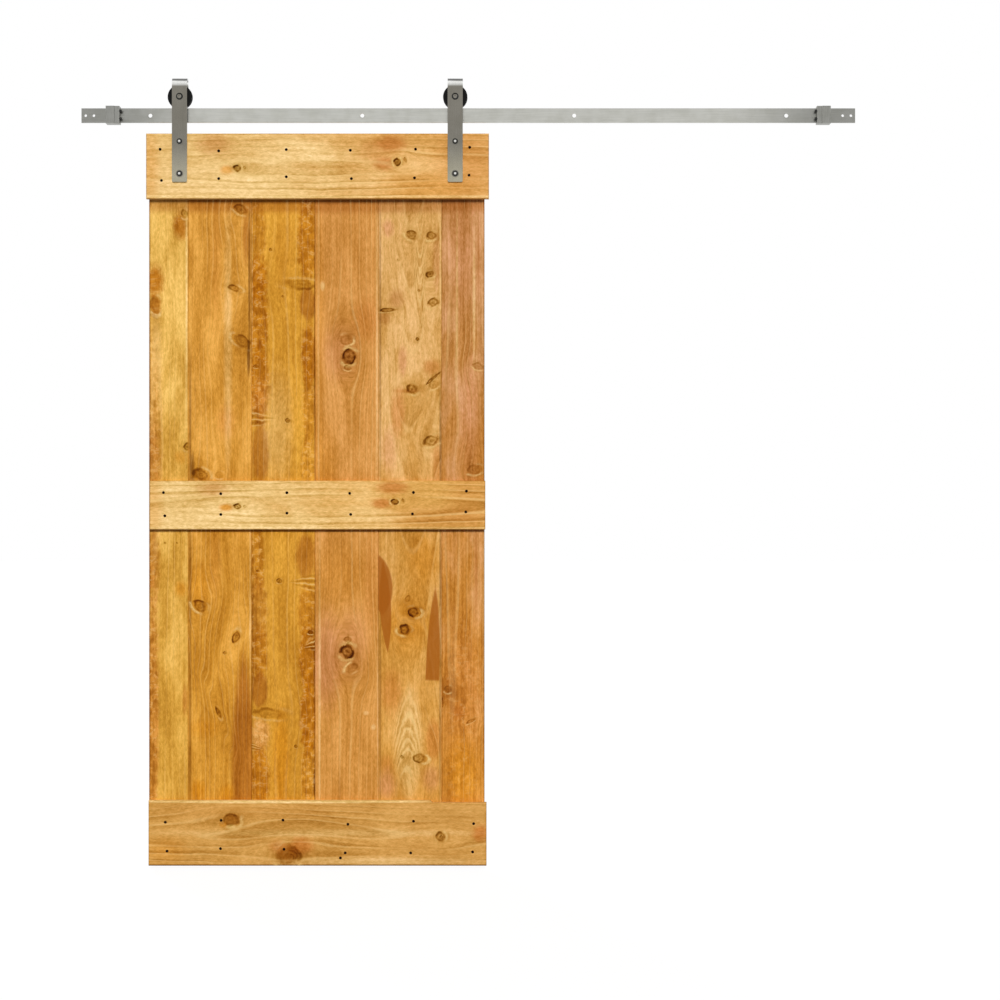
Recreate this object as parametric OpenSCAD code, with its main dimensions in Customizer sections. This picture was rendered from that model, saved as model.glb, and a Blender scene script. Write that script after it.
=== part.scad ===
// Sliding barn door: six tongue-and-groove planks behind three face rails, hung from a flat steel track
// by two strap hangers with grooved wheels. A stop with rubber bumpers is clamped near each end of the track.
// Lengths are in millimetres. +X runs along the track to the right, +Y back to the wall, +Z up.
// The origin is the middle of the row of wall holes, on the back face of the track.

/* [Door] */
// Height of the door
door_h = 2132; // [1800:1:2500]
// Place of the door's middle along the track, from the track's middle
door_park_x = -439; // [-560:1:560]
// Gap between the track's lower edge and the door's top edge
door_gap = 32.5; // [15:0.5:60]

/* [Planks] */
// Thickness of the planks
plank_t = 19; // [16:0.5:30]
// Face width of a full plank
plank_w = 185; // [130:1:240]
// Face width of the narrow plank at the left edge
left_plank_w = 114; // [100:1:240]
// Face width of the narrow plank at the right edge
right_plank_w = 125; // [100:1:240]
// Place of the planks' middle along the door, from the rails' middle
plank_shift = -3.4; // [-20:0.1:20]
// Bevel along the long edges of the planks
plank_bevel = 2; // [0.5:0.1:4]
// Thickness of the tongues
tongue_t = 6; // [4:0.1:8]
// Reach of the tongues out of the plank's edge
tongue_reach = 7; // [4:0.1:10]
// Play of a tongue in its groove
tongue_play = 0.4; // [0.1:0.05:1]

/* [Rails] */
// Thickness of the rails
rail_t = 16; // [12:0.5:25]
// Bevel around the front edges of the rails
rail_bevel = 2; // [0.5:0.1:4]
// Length of the top rail
top_rail_l = 998; // [900:1:1100]
// Height of the top rail
top_rail_h = 190; // [160:1:260]
// Length of the middle rail
middle_rail_l = 977; // [900:1:1100]
// Height of the middle rail
middle_rail_h = 142; // [100:1:220]
// Drop from the door's top edge to the upper edge of the middle rail
middle_rail_drop = 1011; // [600:1:1400]
// Length of the bottom rail
bottom_rail_l = 984; // [900:1:1100]
// Height of the bottom rail
bottom_rail_h = 190; // [120:1:260]
// Length of the planed-down stretch at the right of the bottom rail's upper edge
planed_l = 164; // [50:1:300]
// Depth of that planed-down stretch
planed_h = 6; // [1:0.5:12]

/* [Rail screws] */
// Diameter of the screw shanks
screw_d = 4; // [3:0.1:6]
// Diameter of the screw heads
screw_head_d = 8.4; // [7:0.1:12]
// Depth of the screw heads below the rail's face
screw_sink = 0.8; // [0.2:0.1:2]
// Reach of the screws into the planks
screw_bite = 13; // [6:0.5:15]
// Length of the screws' pointed end
screw_point = 4; // [2:0.5:6]
// Width of the slots of the cross recess
screw_slot_w = 1; // [0.5:0.1:1.6]
// Depth of the cross recess
screw_slot_depth = 1.4; // [0.5:0.1:2]

/* [Track] */
// Length of the track bar
track_l = 2255; // [1900:1:2800]
// Height of the track bar
track_h = 42; // [30:0.5:60]
// Thickness of the track bar
track_t = 6; // [4:0.5:10]
// Bevel along the edges of the track bar
track_bevel = 0.6; // [0.2:0.1:1.2]
// Diameter of the wall holes
wall_hole_d = 12; // [8:0.1:16]
// Distance from one wall hole to the next
wall_hole_pitch = 618; // [450:1:700]
// Countersink at the front of each wall hole
wall_hole_sink = 1.6; // [0.5:0.1:2.5]
// Diameter of the small holes near the ends
end_hole_d = 8; // [4:0.1:12]
// Distance from the track's end to the first small hole
end_hole_edge = 12; // [8:0.5:16]
// Distance from the first small hole to the second
end_hole_pitch = 24; // [18:0.5:34]

/* [Stops] */
// Distance from the track's end to the outer face of a stop
stop_end_gap = 73.5; // [55:0.5:110]
// Length of the stop's clamp along the track
stop_clamp_l = 25; // [15:0.5:40]
// Length of the stop's bumper block along the track
stop_block_l = 14.5; // [10:0.5:25]
// Wall of the stop over and under the track
stop_wall = 4.3; // [3:0.1:8]
// Wall of the stop behind the track
stop_back_wall = 6; // [4:0.1:10]
// Step from the bumper block's face to the clamp's face
stop_step = 3.5; // [3:0.1:8]
// Bevel on the stop's front edges
stop_bevel = 1.5; // [0.5:0.1:2.5]
// Play between a stop and the track
stop_play = 0.2; // [0.05:0.05:0.6]
// Diameter of the rubber bumpers
bumper_d = 8; // [5:0.1:12]
// Length of the rubber bumpers outside the block
bumper_l = 6; // [3:0.1:12]
// Rounding bevel on the bumper's tip
bumper_bevel = 1.2; // [0.4:0.1:2]
// Distance between the two bumpers of a stop
bumper_pitch = 22; // [16:0.5:30]
// Diameter of the bumper's stem
bumper_stem_d = 5; // [3:0.1:7]
// Length of the bumper's stem in the block
bumper_stem_l = 7; // [4:0.1:9]
// Diameter of the set screws
set_screw_d = 6; // [4:0.1:8]
// Distance between the two set screws of a stop
set_screw_pitch = 24; // [16:0.5:30]

/* [Hanger straps] */
// Distance between the two hangers
hanger_spacing = 802; // [700:1:840]
// Width of a strap
strap_w = 44; // [32:0.5:60]
// Thickness of a strap
strap_t = 5; // [3:0.1:8]
// Gap between the wheel's rim and the crown of the strap's bend
crown_gap = 14; // [5:0.5:30]
// Reach of the strap down the door from the door's top edge
strap_lap = 141.5; // [130:1:180]
// Reach of the strap's short rear leg below the axle
strap_tail = 22; // [16:0.5:30]
// Rounding of the strap's corners
strap_corner_r = 4; // [1:0.5:8]

/* [Wheels] */
// Diameter of the wheel over its flanges
wheel_d = 71; // [60:0.5:100]
// Width of the wheel
wheel_w = 18; // [16:0.5:30]
// Height of the flanges beside the tread
flange_h = 3; // [1.5:0.1:5]
// Slope of each flange's inner side, measured across the wheel
flange_slope = 0.8; // [0.2:0.1:1.5]
// Play of the track in the wheel's groove, on each side
groove_play = 0.5; // [0.2:0.05:1]
// Gap between the tread and the track's upper edge
tread_gap = 0.2; // [0.05:0.05:0.4]
// Gap between the wheel's face and the strap, on each side
wheel_side_gap = 1.5; // [0.8:0.1:4]
// Bevel on the wheel's rim
rim_bevel = 1; // [0.3:0.1:2]
// Width of the raised rim around the dished face
rim_w = 6; // [4:0.5:9]
// Depth of the dished face
dish_depth = 1.2; // [0.4:0.1:2]
// Width of the raised hub around the bearing
hub_w = 5; // [3:0.5:7]

/* [Bearings and axles] */
// Outer diameter of the bearing
bearing_d = 26; // [24:0.5:32]
// Width of the bearing
bearing_w = 8; // [7:0.5:12]
// Diameter of the axle
axle_d = 10; // [8:0.1:11]
// Diameter of the bearing's balls
ball_d = 4.4; // [3.6:0.1:4.8]
// Width of the lip that the bearing seats against
bearing_lip = 2; // [1:0.1:3]
// Thickness of the bearing's shields
shield_t = 0.6; // [0.3:0.1:0.9]
// Diameter of the axle spacers
spacer_d = 14; // [13:0.1:16]
// Diameter of the axle bolt's head
axle_head_d = 20; // [15:0.5:26]
// Height of the axle bolt's head
axle_head_h = 6; // [4:0.1:9]
// Width of the axle bolt's hexagon socket across its flats
axle_socket_af = 6; // [4:0.1:8]
// Width of the axle nut across its flats
axle_nut_af = 17; // [14:0.1:20]
// Thickness of the axle nut
axle_nut_t = 8; // [5:0.1:10]

/* [Strap bolts] */
// Diameter of the bolts that hold a strap to the door
bolt_d = 8; // [6:0.1:10]
// Drop from the door's top edge to the upper bolt
bolt_drop = 23.5; // [18:0.5:34]
// Distance from the upper bolt to the lower one
bolt_pitch = 94; // [60:0.5:98]
// Diameter of the bolts' flange
bolt_flange_d = 21; // [18:0.5:28]
// Thickness of the bolts' flange
bolt_flange_t = 1.2; // [0.6:0.1:2]
// Diameter of the bolts' domed head
bolt_head_d = 15; // [12:0.5:17]
// Height of the bolts' domed head
bolt_head_h = 5; // [3:0.1:7]
// Diameter of the washers on the door's back
washer_d = 24; // [18:0.5:30]
// Thickness of the washers
washer_t = 1.6; // [1:0.1:3]
// Width of the nuts across their flats
nut_af = 13; // [12:0.1:16]
// Thickness of the nuts
nut_t = 6.5; // [4:0.1:8]
// Length of bolt that stands past a nut
bolt_end = 2; // [0.5:0.1:5]

/* [Hidden] */
$fn = 48;
left = -1;
right = 1;

// Every cut runs this far past the face that it opens
overrun = 1;
// Radial play of shanks, pins and stems in their holes
pin_play = 0.05;
// Radial play of the balls in their grooves
ball_play = 0.1;
ball_count = 7;
wall_hole_count = 4;
// Rims and collars that are worked out of the pieces that carry them
bumper_rim = 0.5;
shield_inset = 0.2;
head_land = 1;
hex_corner = 1 / cos(30);
// Width of the flat end of a nut, as a share of its width across the flats
nut_face_share = 0.94;
nut_chamfer_angle = 30;

// Colours
plank_colours = ["#d8a45c", "#cf9449", "#c98f45", "#d29e62", "#d9ad6c", "#c68a52"];
rail_colour = "#d7a867";
screw_colour = "#1c1a18";
steel_colour = "#a5a59f";
bolt_colour = "#8b8b86";
wheel_colour = "#232323";
bearing_colour = "#c4c6c8";
rubber_colour = "#141414";

// Screw places on the rails: shares of the rail's length from its left end, and of its height from below
upper_screw_shares = [
    [0.041, 0.757], [0.212, 0.733], [0.409, 0.753], [0.596, 0.742], [0.786, 0.760], [0.944, 0.787],
    [0.045, 0.280], [0.212, 0.308], [0.409, 0.336], [0.599, 0.308], [0.783, 0.320], [0.942, 0.360]
];
bottom_screw_shares = [
    [0.050, 0.668], [0.215, 0.696], [0.398, 0.700], [0.590, 0.636], [0.784, 0.683], [0.962, 0.646],
    [0.055, 0.225], [0.213, 0.263], [0.401, 0.254], [0.582, 0.197], [0.776, 0.197], [0.959, 0.213],
    [0.568, 0.120]
];

// Heights and depths of the assembly
wheel_y = -track_t / 2;
tread_r = wheel_d / 2 - flange_h;
axle_z = track_h / 2 + tread_gap + tread_r;
strap_gap = wheel_w + 2 * wheel_side_gap;
strap_out = strap_gap / 2 + strap_t;
door_front_y = wheel_y - strap_gap / 2;
door_top_z = -track_h / 2 - door_gap;

// Door leaf, seen from the middle of its top edge on the rails' front faces
plank_widths = [left_plank_w, plank_w, plank_w, plank_w, plank_w, right_plank_w];
last_plank = len(plank_widths) - 1;
door_w = left_plank_w + right_plank_w + (last_plank - 1) * plank_w;
function plank_left(i) = i == 0 ? plank_shift - door_w / 2 : plank_left(i - 1) + plank_widths[i - 1];

top_rail_z = -top_rail_h;
middle_rail_z = -middle_rail_drop - middle_rail_h;
bottom_rail_z = -door_h;
function rail_points(l, h, z, shares) = [for (s = shares) [l * s[0] - l / 2, z + h * s[1]]];
top_screws = rail_points(top_rail_l, top_rail_h, top_rail_z, upper_screw_shares);
middle_screws = rail_points(middle_rail_l, middle_rail_h, middle_rail_z, upper_screw_shares);
bottom_screws = rail_points(bottom_rail_l, bottom_rail_h, bottom_rail_z, bottom_screw_shares);
all_screws = concat(top_screws, middle_screws, bottom_screws);
screw_cone_h = (screw_head_d - screw_d) / 2;
screw_l = rail_t + screw_bite - screw_sink;

bolt_rows = [-bolt_drop, -bolt_drop - bolt_pitch];
bolt_points = [for (side = [left, right], z = bolt_rows) [side * hanger_spacing / 2, z]];
bolt_grip = strap_t + rail_t + plank_t;

// Hanger, seen from the axle in the middle of the wheel
crown_z = wheel_d / 2 + crown_gap + strap_t;
bend_z = crown_z - strap_out;
strap_low_z = door_top_z - strap_lap - axle_z;
strap_face_y = -strap_out;

// Bearing
ball_ring_r = (bearing_d + axle_d) / 4;
inner_land_r = ball_ring_r - ball_d / 3;
outer_land_r = ball_ring_r + ball_d / 3;
bearing_seat_r = bearing_d / 2 + pin_play;
spacer_l = (strap_gap - bearing_w) / 2;

// Stop, seen from its outer face on the left end of the track
stop_l = stop_clamp_l + stop_block_l;
stop_half_h = track_h / 2 + stop_play + stop_wall;
stop_back_y = stop_play + stop_back_wall;
bumper_y = door_front_y - strap_t / 2;
block_face_y = bumper_y - bumper_d / 2 - bumper_rim;
clamp_face_y = block_face_y - stop_step;
stop_x = stop_end_gap - track_l / 2;

// Turns that lay a shape's own Z axis along Y or X
module along_y() rotate([-90, 0, 0]) children();
module along_x() rotate([0, 90, 0]) children();
// Draws an outline of Y and Z, and gives it a length along X on both sides
module section_along_x(l) rotate([90, 0, 90]) linear_extrude(l, center = true) children();

// Places of the three groups
module in_door() translate([door_park_x, door_front_y, door_top_z]) children();
module in_hanger(side) translate([door_park_x + side * hanger_spacing / 2, wheel_y, axle_z]) children();
module at_end(side) mirror([side == left ? 0 : 1, 0, 0]) translate([stop_x, 0, 0]) children();

// Fasteners
module hexagon(af, h) cylinder(d = af * hex_corner, h = h, $fn = 6);

module domed_disc(d, h) {
    rise = h - head_land;
    dome_r = (d * d / 4 + rise * rise) / (2 * rise);
    intersection() {
        cylinder(d = d, h = h + overrun);
        translate([0, 0, h - dome_r]) sphere(r = dome_r);
    }
}

module nut_blank(af, t) {
    face_r = af / 2 * nut_face_share;
    out_r = af / 2 * hex_corner + overrun;
    chamfer_h = (out_r - face_r) * tan(nut_chamfer_angle);
    intersection() {
        hexagon(af, t);
        rotate_extrude() polygon([
            [0, 0], [face_r, 0], [out_r, chamfer_h], [out_r, t - chamfer_h], [face_r, t], [0, t]
        ]);
    }
}

module hex_nut(af, t, bore) {
    difference() {
        nut_blank(af, t);
        translate([0, 0, -overrun]) cylinder(d = bore + 2 * pin_play, h = t + 2 * overrun);
    }
}

module ring(d, bore, h) {
    difference() {
        cylinder(d = d, h = h);
        translate([0, 0, -overrun]) cylinder(d = bore + 2 * pin_play, h = h + 2 * overrun);
    }
}

// Door leaf
function plank_outline(w, groove, tongue) = let (
    mid = plank_t / 2,
    tongue_half = tongue_t / 2,
    groove_half = tongue_half + tongue_play,
    groove_depth = tongue_reach + tongue_play
) concat(
    [[plank_bevel, 0], [w - plank_bevel, 0], [w, plank_bevel]],
    tongue ? [
        [w, mid - tongue_half], [w + tongue_reach, mid - tongue_half],
        [w + tongue_reach, mid + tongue_half], [w, mid + tongue_half]
    ] : [],
    [[w, plank_t - plank_bevel], [w - plank_bevel, plank_t], [plank_bevel, plank_t], [0, plank_t - plank_bevel]],
    groove ? [
        [0, mid + groove_half], [groove_depth, mid + groove_half],
        [groove_depth, mid - groove_half], [0, mid - groove_half]
    ] : [],
    [[0, plank_bevel]]
);

module plank(i) {
    x = plank_left(i);
    w = plank_widths[i];
    low_x = x - screw_d;
    high_x = x + w + tongue_reach + screw_d;
    pilot_r = screw_d / 2 + pin_play;
    color(plank_colours[i]) in_door() difference() {
        translate([x, rail_t, -door_h]) linear_extrude(door_h)
            polygon(plank_outline(w, i > 0, i < last_plank));
        for (p = all_screws) if (p[0] > low_x && p[0] < high_x)
            translate([p[0], rail_t - overrun, p[1]]) along_y()
                cylinder(r = pilot_r, h = screw_bite + overrun + pin_play);
        for (p = bolt_points) if (p[0] > low_x && p[0] < high_x)
            translate([p[0], rail_t - overrun, p[1]]) along_y()
                cylinder(d = bolt_d + 2 * pin_play, h = plank_t + 2 * overrun);
    }
}

module rail_blank(l, h) {
    intersection() {
        translate([0, 0, h / 2]) section_along_x(l) polygon([
            [rail_bevel, -h / 2], [rail_t, -h / 2], [rail_t, h / 2],
            [rail_bevel, h / 2], [0, h / 2 - rail_bevel], [0, rail_bevel - h / 2]
        ]);
        linear_extrude(h) polygon([
            [rail_bevel - l / 2, 0], [l / 2 - rail_bevel, 0], [l / 2, rail_bevel],
            [l / 2, rail_t], [-l / 2, rail_t], [-l / 2, rail_bevel]
        ]);
    }
}

module screw_hole() {
    head_r = screw_head_d / 2 + pin_play;
    shank_r = screw_d / 2 + pin_play;
    along_y() {
        translate([0, 0, -overrun]) cylinder(r = head_r, h = screw_sink + overrun);
        translate([0, 0, screw_sink]) cylinder(r1 = head_r, r2 = shank_r, h = screw_cone_h);
        cylinder(r = shank_r, h = rail_t + overrun);
    }
}

module rail(l, h, z, points) {
    color(rail_colour) in_door() difference() {
        translate([0, 0, z]) rail_blank(l, h);
        for (p = points) translate([p[0], 0, p[1]]) screw_hole();
        for (p = bolt_points) if (p[1] > z && p[1] < z + h)
            translate([p[0], -overrun, p[1]]) along_y()
                cylinder(d = bolt_d + 2 * pin_play, h = rail_t + 2 * overrun);
        children();
    }
}

module planed_stretch() {
    high_z = bottom_rail_z + bottom_rail_h;
    end_x = bottom_rail_l / 2;
    translate([0, rail_t + overrun, 0]) rotate([90, 0, 0]) linear_extrude(rail_t + 2 * overrun) polygon([
        [end_x - planed_l - overrun, high_z + overrun], [end_x - planed_l + planed_h, high_z - planed_h],
        [end_x + overrun, high_z - planed_h], [end_x + overrun, high_z + overrun]
    ]);
}

module rail_screw() {
    straight_l = screw_l - screw_point;
    difference() {
        union() {
            cylinder(d1 = screw_head_d, d2 = screw_d, h = screw_cone_h);
            cylinder(d = screw_d, h = straight_l);
            translate([0, 0, straight_l]) cylinder(d1 = screw_d, d2 = 0, h = screw_point);
        }
        for (turn = [0, 90]) rotate(turn) translate([0, 0, (screw_slot_depth - overrun) / 2])
            cube([screw_head_d / 2, screw_slot_w, screw_slot_depth + overrun], center = true);
    }
}

module rail_screws(points) {
    color(screw_colour) in_door() for (p = points)
        translate([p[0], screw_sink, p[1]]) along_y() rail_screw();
}

// Hangers
module strap_section() {
    difference() {
        union() {
            translate([-strap_out, strap_low_z]) square([2 * strap_out, bend_z - strap_low_z]);
            translate([0, bend_z]) circle(r = strap_out);
        }
        translate([0, bend_z]) circle(d = strap_gap);
        translate([-strap_gap / 2, strap_low_z - overrun]) square([strap_gap, bend_z - strap_low_z + overrun]);
        translate([0, strap_low_z - overrun])
            square([strap_out + overrun, -strap_tail - strap_low_z + overrun]);
    }
}

module strap_front_outline() {
    half_w = strap_w / 2;
    corner_x = half_w - strap_corner_r;
    translate([-half_w, strap_low_z + strap_corner_r])
        square([strap_w, crown_z - strap_low_z - strap_corner_r + overrun]);
    translate([-corner_x, strap_low_z]) square([2 * corner_x, strap_corner_r + overrun]);
    for (side = [left, right]) translate([side * corner_x, strap_low_z + strap_corner_r])
        circle(r = strap_corner_r);
}

module hanger_strap(side) {
    color(steel_colour) in_hanger(side) difference() {
        intersection() {
            section_along_x(strap_w) strap_section();
            rotate([90, 0, 0]) linear_extrude(2 * strap_out + 2 * overrun, center = true) strap_front_outline();
        }
        translate([0, -strap_out - overrun, 0]) along_y()
            cylinder(d = axle_d + 2 * pin_play, h = 2 * strap_out + 2 * overrun);
        for (z = bolt_rows) translate([0, -strap_out - overrun, door_top_z + z - axle_z]) along_y()
            cylinder(d = bolt_d + 2 * pin_play, h = strap_t + 2 * overrun);
    }
}

module wheel(side) {
    half_w = wheel_w / 2;
    rim_r = wheel_d / 2;
    floor_half = track_t / 2 + groove_play;
    mouth_half = floor_half + flange_slope;
    dish_out_r = rim_r - rim_w;
    dish_in_r = bearing_seat_r + hub_w;
    lip_r = bearing_d / 2 - bearing_lip;
    color(wheel_colour) in_hanger(side) along_y() rotate_extrude() polygon([
        [lip_r, -half_w], [dish_in_r, -half_w], [dish_in_r, dish_depth - half_w],
        [dish_out_r, dish_depth - half_w], [dish_out_r, -half_w], [rim_r - rim_bevel, -half_w],
        [rim_r, rim_bevel - half_w], [rim_r, -mouth_half], [tread_r, -floor_half],
        [tread_r, floor_half], [rim_r, mouth_half], [rim_r, half_w - rim_bevel],
        [rim_r - rim_bevel, half_w], [dish_out_r, half_w], [dish_out_r, half_w - dish_depth],
        [dish_in_r, half_w - dish_depth], [dish_in_r, half_w], [bearing_seat_r, half_w],
        [bearing_seat_r, -bearing_w / 2], [lip_r, -bearing_w / 2]
    ]);
}

module bearing_ring(side, inner_r, outer_r) {
    color(bearing_colour) in_hanger(side) along_y() rotate_extrude() difference() {
        translate([inner_r, -bearing_w / 2]) square([outer_r - inner_r, bearing_w]);
        translate([ball_ring_r, 0]) circle(r = ball_d / 2 + ball_play);
    }
}

module bearing_outer_ring(side) bearing_ring(side, outer_land_r, bearing_d / 2);
module bearing_inner_ring(side) bearing_ring(side, axle_d / 2 + pin_play, inner_land_r);

module bearing_balls(side) {
    color(bearing_colour) in_hanger(side) along_y() for (i = [0 : ball_count - 1])
        rotate(360 / ball_count * i) translate([ball_ring_r, 0, 0]) sphere(d = ball_d);
}

module bearing_shields(side) {
    shield_z = bearing_w / 2 - shield_inset - shield_t;
    color(bolt_colour) in_hanger(side) along_y() for (z = [shield_z, -shield_z - shield_t])
        translate([0, 0, z]) difference() {
            cylinder(r = outer_land_r - pin_play, h = shield_t);
            translate([0, 0, -overrun]) cylinder(r = inner_land_r + 2 * ball_play, h = shield_t + 2 * overrun);
        }
}

module axle_bolt(side) {
    shank_l = 2 * strap_out + axle_nut_t + bolt_end;
    socket_depth = axle_head_h / 2;
    color(bolt_colour) in_hanger(side) translate([0, strap_face_y, 0]) along_y() difference() {
        union() {
            mirror([0, 0, 1]) domed_disc(axle_head_d, axle_head_h);
            cylinder(d = axle_d, h = shank_l);
        }
        translate([0, 0, -axle_head_h - overrun]) hexagon(axle_socket_af, socket_depth + overrun);
    }
}

module axle_spacers(side) {
    color(bolt_colour) in_hanger(side) along_y() for (z = [-strap_gap / 2, bearing_w / 2])
        translate([0, 0, z]) ring(spacer_d, axle_d, spacer_l);
}

module axle_nut(side) {
    color(bolt_colour) in_hanger(side) translate([0, strap_out, 0]) along_y()
        hex_nut(axle_nut_af, axle_nut_t, axle_d);
}

module on_strap_bolts(side, depth) {
    in_door() for (z = bolt_rows)
        translate([side * hanger_spacing / 2, depth, z]) along_y() children();
}

module strap_bolts(side) {
    color(bolt_colour) on_strap_bolts(side, -strap_t) {
        mirror([0, 0, 1]) cylinder(d = bolt_flange_d, h = bolt_flange_t);
        translate([0, 0, -bolt_flange_t]) mirror([0, 0, 1]) domed_disc(bolt_head_d, bolt_head_h);
        cylinder(d = bolt_d, h = bolt_grip + washer_t + nut_t + bolt_end);
    }
}

module strap_washers(side) {
    color(steel_colour) on_strap_bolts(side, rail_t + plank_t) ring(washer_d, bolt_d, washer_t);
}

module strap_nuts(side) {
    color(bolt_colour) on_strap_bolts(side, rail_t + plank_t + washer_t) hex_nut(nut_af, nut_t, bolt_d);
}

// Track and stops
module track_bar() {
    half_h = track_h / 2;
    wall_hole_r = wall_hole_d / 2;
    first_hole_x = -wall_hole_pitch * (wall_hole_count - 1) / 2;
    color(steel_colour) difference() {
        section_along_x(track_l) polygon([
            [track_bevel - track_t, -half_h], [-track_bevel, -half_h], [0, track_bevel - half_h],
            [0, half_h - track_bevel], [-track_bevel, half_h], [track_bevel - track_t, half_h],
            [-track_t, half_h - track_bevel], [-track_t, track_bevel - half_h]
        ]);
        for (i = [0 : wall_hole_count - 1])
            translate([first_hole_x + wall_hole_pitch * i, -track_t, 0]) along_y() {
                translate([0, 0, -overrun]) cylinder(r = wall_hole_r, h = track_t + 2 * overrun);
                translate([0, 0, -overrun]) cylinder(
                    r1 = wall_hole_r + wall_hole_sink + overrun, r2 = wall_hole_r, h = wall_hole_sink + overrun
                );
            }
        for (side = [left, right], reach = [end_hole_edge, end_hole_edge + end_hole_pitch])
            translate([side * (track_l / 2 - reach), -track_t - overrun, 0]) along_y()
                cylinder(d = end_hole_d, h = track_t + 2 * overrun);
    }
}

module stop_collar(side) {
    color(steel_colour) at_end(side) difference() {
        intersection() {
            translate([0, 0, -stop_half_h]) linear_extrude(2 * stop_half_h) polygon([
                [stop_bevel, clamp_face_y], [stop_clamp_l - stop_bevel, clamp_face_y],
                [stop_clamp_l, clamp_face_y + stop_bevel], [stop_clamp_l, block_face_y],
                [stop_l - stop_bevel, block_face_y], [stop_l, block_face_y + stop_bevel],
                [stop_l, stop_back_y], [0, stop_back_y], [0, clamp_face_y + stop_bevel]
            ]);
            translate([stop_l / 2, 0, 0]) section_along_x(stop_l + 2 * overrun) polygon([
                [clamp_face_y + stop_bevel, -stop_half_h], [stop_back_y, -stop_half_h],
                [stop_back_y, stop_half_h], [clamp_face_y + stop_bevel, stop_half_h],
                [clamp_face_y, stop_half_h - stop_bevel], [clamp_face_y, stop_bevel - stop_half_h]
            ]);
        }
        translate([-overrun, -track_t - stop_play, -track_h / 2 - stop_play])
            cube([stop_l + 2 * overrun, track_t + 2 * stop_play, track_h + 2 * stop_play]);
        for (z = [-bumper_pitch / 2, bumper_pitch / 2])
            translate([stop_l - bumper_stem_l - pin_play, bumper_y, z]) along_x()
                cylinder(d = bumper_stem_d + 2 * pin_play, h = bumper_stem_l + overrun);
        for (z = [-set_screw_pitch / 2, set_screw_pitch / 2])
            translate([stop_clamp_l / 2, 0, z]) along_y()
                cylinder(d = set_screw_d + 2 * pin_play, h = stop_back_y + overrun);
    }
}

module stop_bumpers(side) {
    straight_l = bumper_l - bumper_bevel;
    color(rubber_colour) at_end(side) for (z = [-bumper_pitch / 2, bumper_pitch / 2])
        translate([stop_l, bumper_y, z]) along_x() {
            translate([0, 0, -bumper_stem_l]) cylinder(d = bumper_stem_d, h = bumper_stem_l);
            cylinder(d = bumper_d, h = straight_l);
            translate([0, 0, straight_l])
                cylinder(d1 = bumper_d, d2 = bumper_d - 2 * bumper_bevel, h = bumper_bevel);
        }
}

module stop_set_screws(side) {
    socket_af = set_screw_d / 2;
    socket_depth = stop_back_y / 2;
    color(bolt_colour) at_end(side) for (z = [-set_screw_pitch / 2, set_screw_pitch / 2])
        translate([stop_clamp_l / 2, 0, z]) along_y() difference() {
            cylinder(d = set_screw_d, h = stop_back_y);
            translate([0, 0, stop_back_y - socket_depth]) hexagon(socket_af, socket_depth + overrun);
        }
}

// The pieces
plank(0);  // plank_1
plank(1);  // plank_2
plank(2);  // plank_3
plank(3);  // plank_4
plank(4);  // plank_5
plank(5);  // plank_6
rail(top_rail_l, top_rail_h, top_rail_z, top_screws);  // top_rail
rail(middle_rail_l, middle_rail_h, middle_rail_z, middle_screws);  // middle_rail
rail(bottom_rail_l, bottom_rail_h, bottom_rail_z, bottom_screws) planed_stretch();  // bottom_rail
rail_screws(top_screws);  // top_rail_screws
rail_screws(middle_screws);  // middle_rail_screws
rail_screws(bottom_screws);  // bottom_rail_screws
hanger_strap(left);  // left_hanger_strap
wheel(left);  // left_wheel
bearing_outer_ring(left);  // left_bearing_outer_ring
bearing_inner_ring(left);  // left_bearing_inner_ring
bearing_balls(left);  // left_bearing_balls
bearing_shields(left);  // left_bearing_shields
axle_bolt(left);  // left_axle_bolt
axle_spacers(left);  // left_axle_spacers
axle_nut(left);  // left_axle_nut
strap_bolts(left);  // left_strap_bolts
strap_washers(left);  // left_strap_washers
strap_nuts(left);  // left_strap_nuts
hanger_strap(right);  // right_hanger_strap
wheel(right);  // right_wheel
bearing_outer_ring(right);  // right_bearing_outer_ring
bearing_inner_ring(right);  // right_bearing_inner_ring
bearing_balls(right);  // right_bearing_balls
bearing_shields(right);  // right_bearing_shields
axle_bolt(right);  // right_axle_bolt
axle_spacers(right);  // right_axle_spacers
axle_nut(right);  // right_axle_nut
strap_bolts(right);  // right_strap_bolts
strap_washers(right);  // right_strap_washers
strap_nuts(right);  // right_strap_nuts
track_bar();
stop_collar(left);  // left_stop_collar
stop_bumpers(left);  // left_stop_bumpers
stop_set_screws(left);  // left_stop_set_screws
stop_collar(right);  // right_stop_collar
stop_bumpers(right);  // right_stop_bumpers
stop_set_screws(right);  // right_stop_set_screws
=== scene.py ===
"""Looks of a sliding barn door: stained pine planks and rails hung on a steel track by strap hangers."""

import math
from typing import NamedTuple

import bpy
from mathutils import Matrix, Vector


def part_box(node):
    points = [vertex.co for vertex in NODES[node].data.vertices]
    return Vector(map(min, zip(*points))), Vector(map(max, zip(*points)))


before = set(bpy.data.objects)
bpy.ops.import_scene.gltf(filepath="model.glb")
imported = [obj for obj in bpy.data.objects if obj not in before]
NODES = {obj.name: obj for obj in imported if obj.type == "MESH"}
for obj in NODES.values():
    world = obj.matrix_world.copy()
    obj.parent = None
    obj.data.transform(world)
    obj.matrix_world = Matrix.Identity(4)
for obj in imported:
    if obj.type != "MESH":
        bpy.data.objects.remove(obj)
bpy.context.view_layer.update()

bl_info = {
    "name": "Sliding Barn Door",
    "version": (1, 0, 0),
    "blender": (4, 5, 0),
    "location": "3D View > Sidebar > Barn Door",
    "description": "Dresses a sliding barn door in stained pine, brushed steel and black nylon",
    "category": "Object",
}

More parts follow.
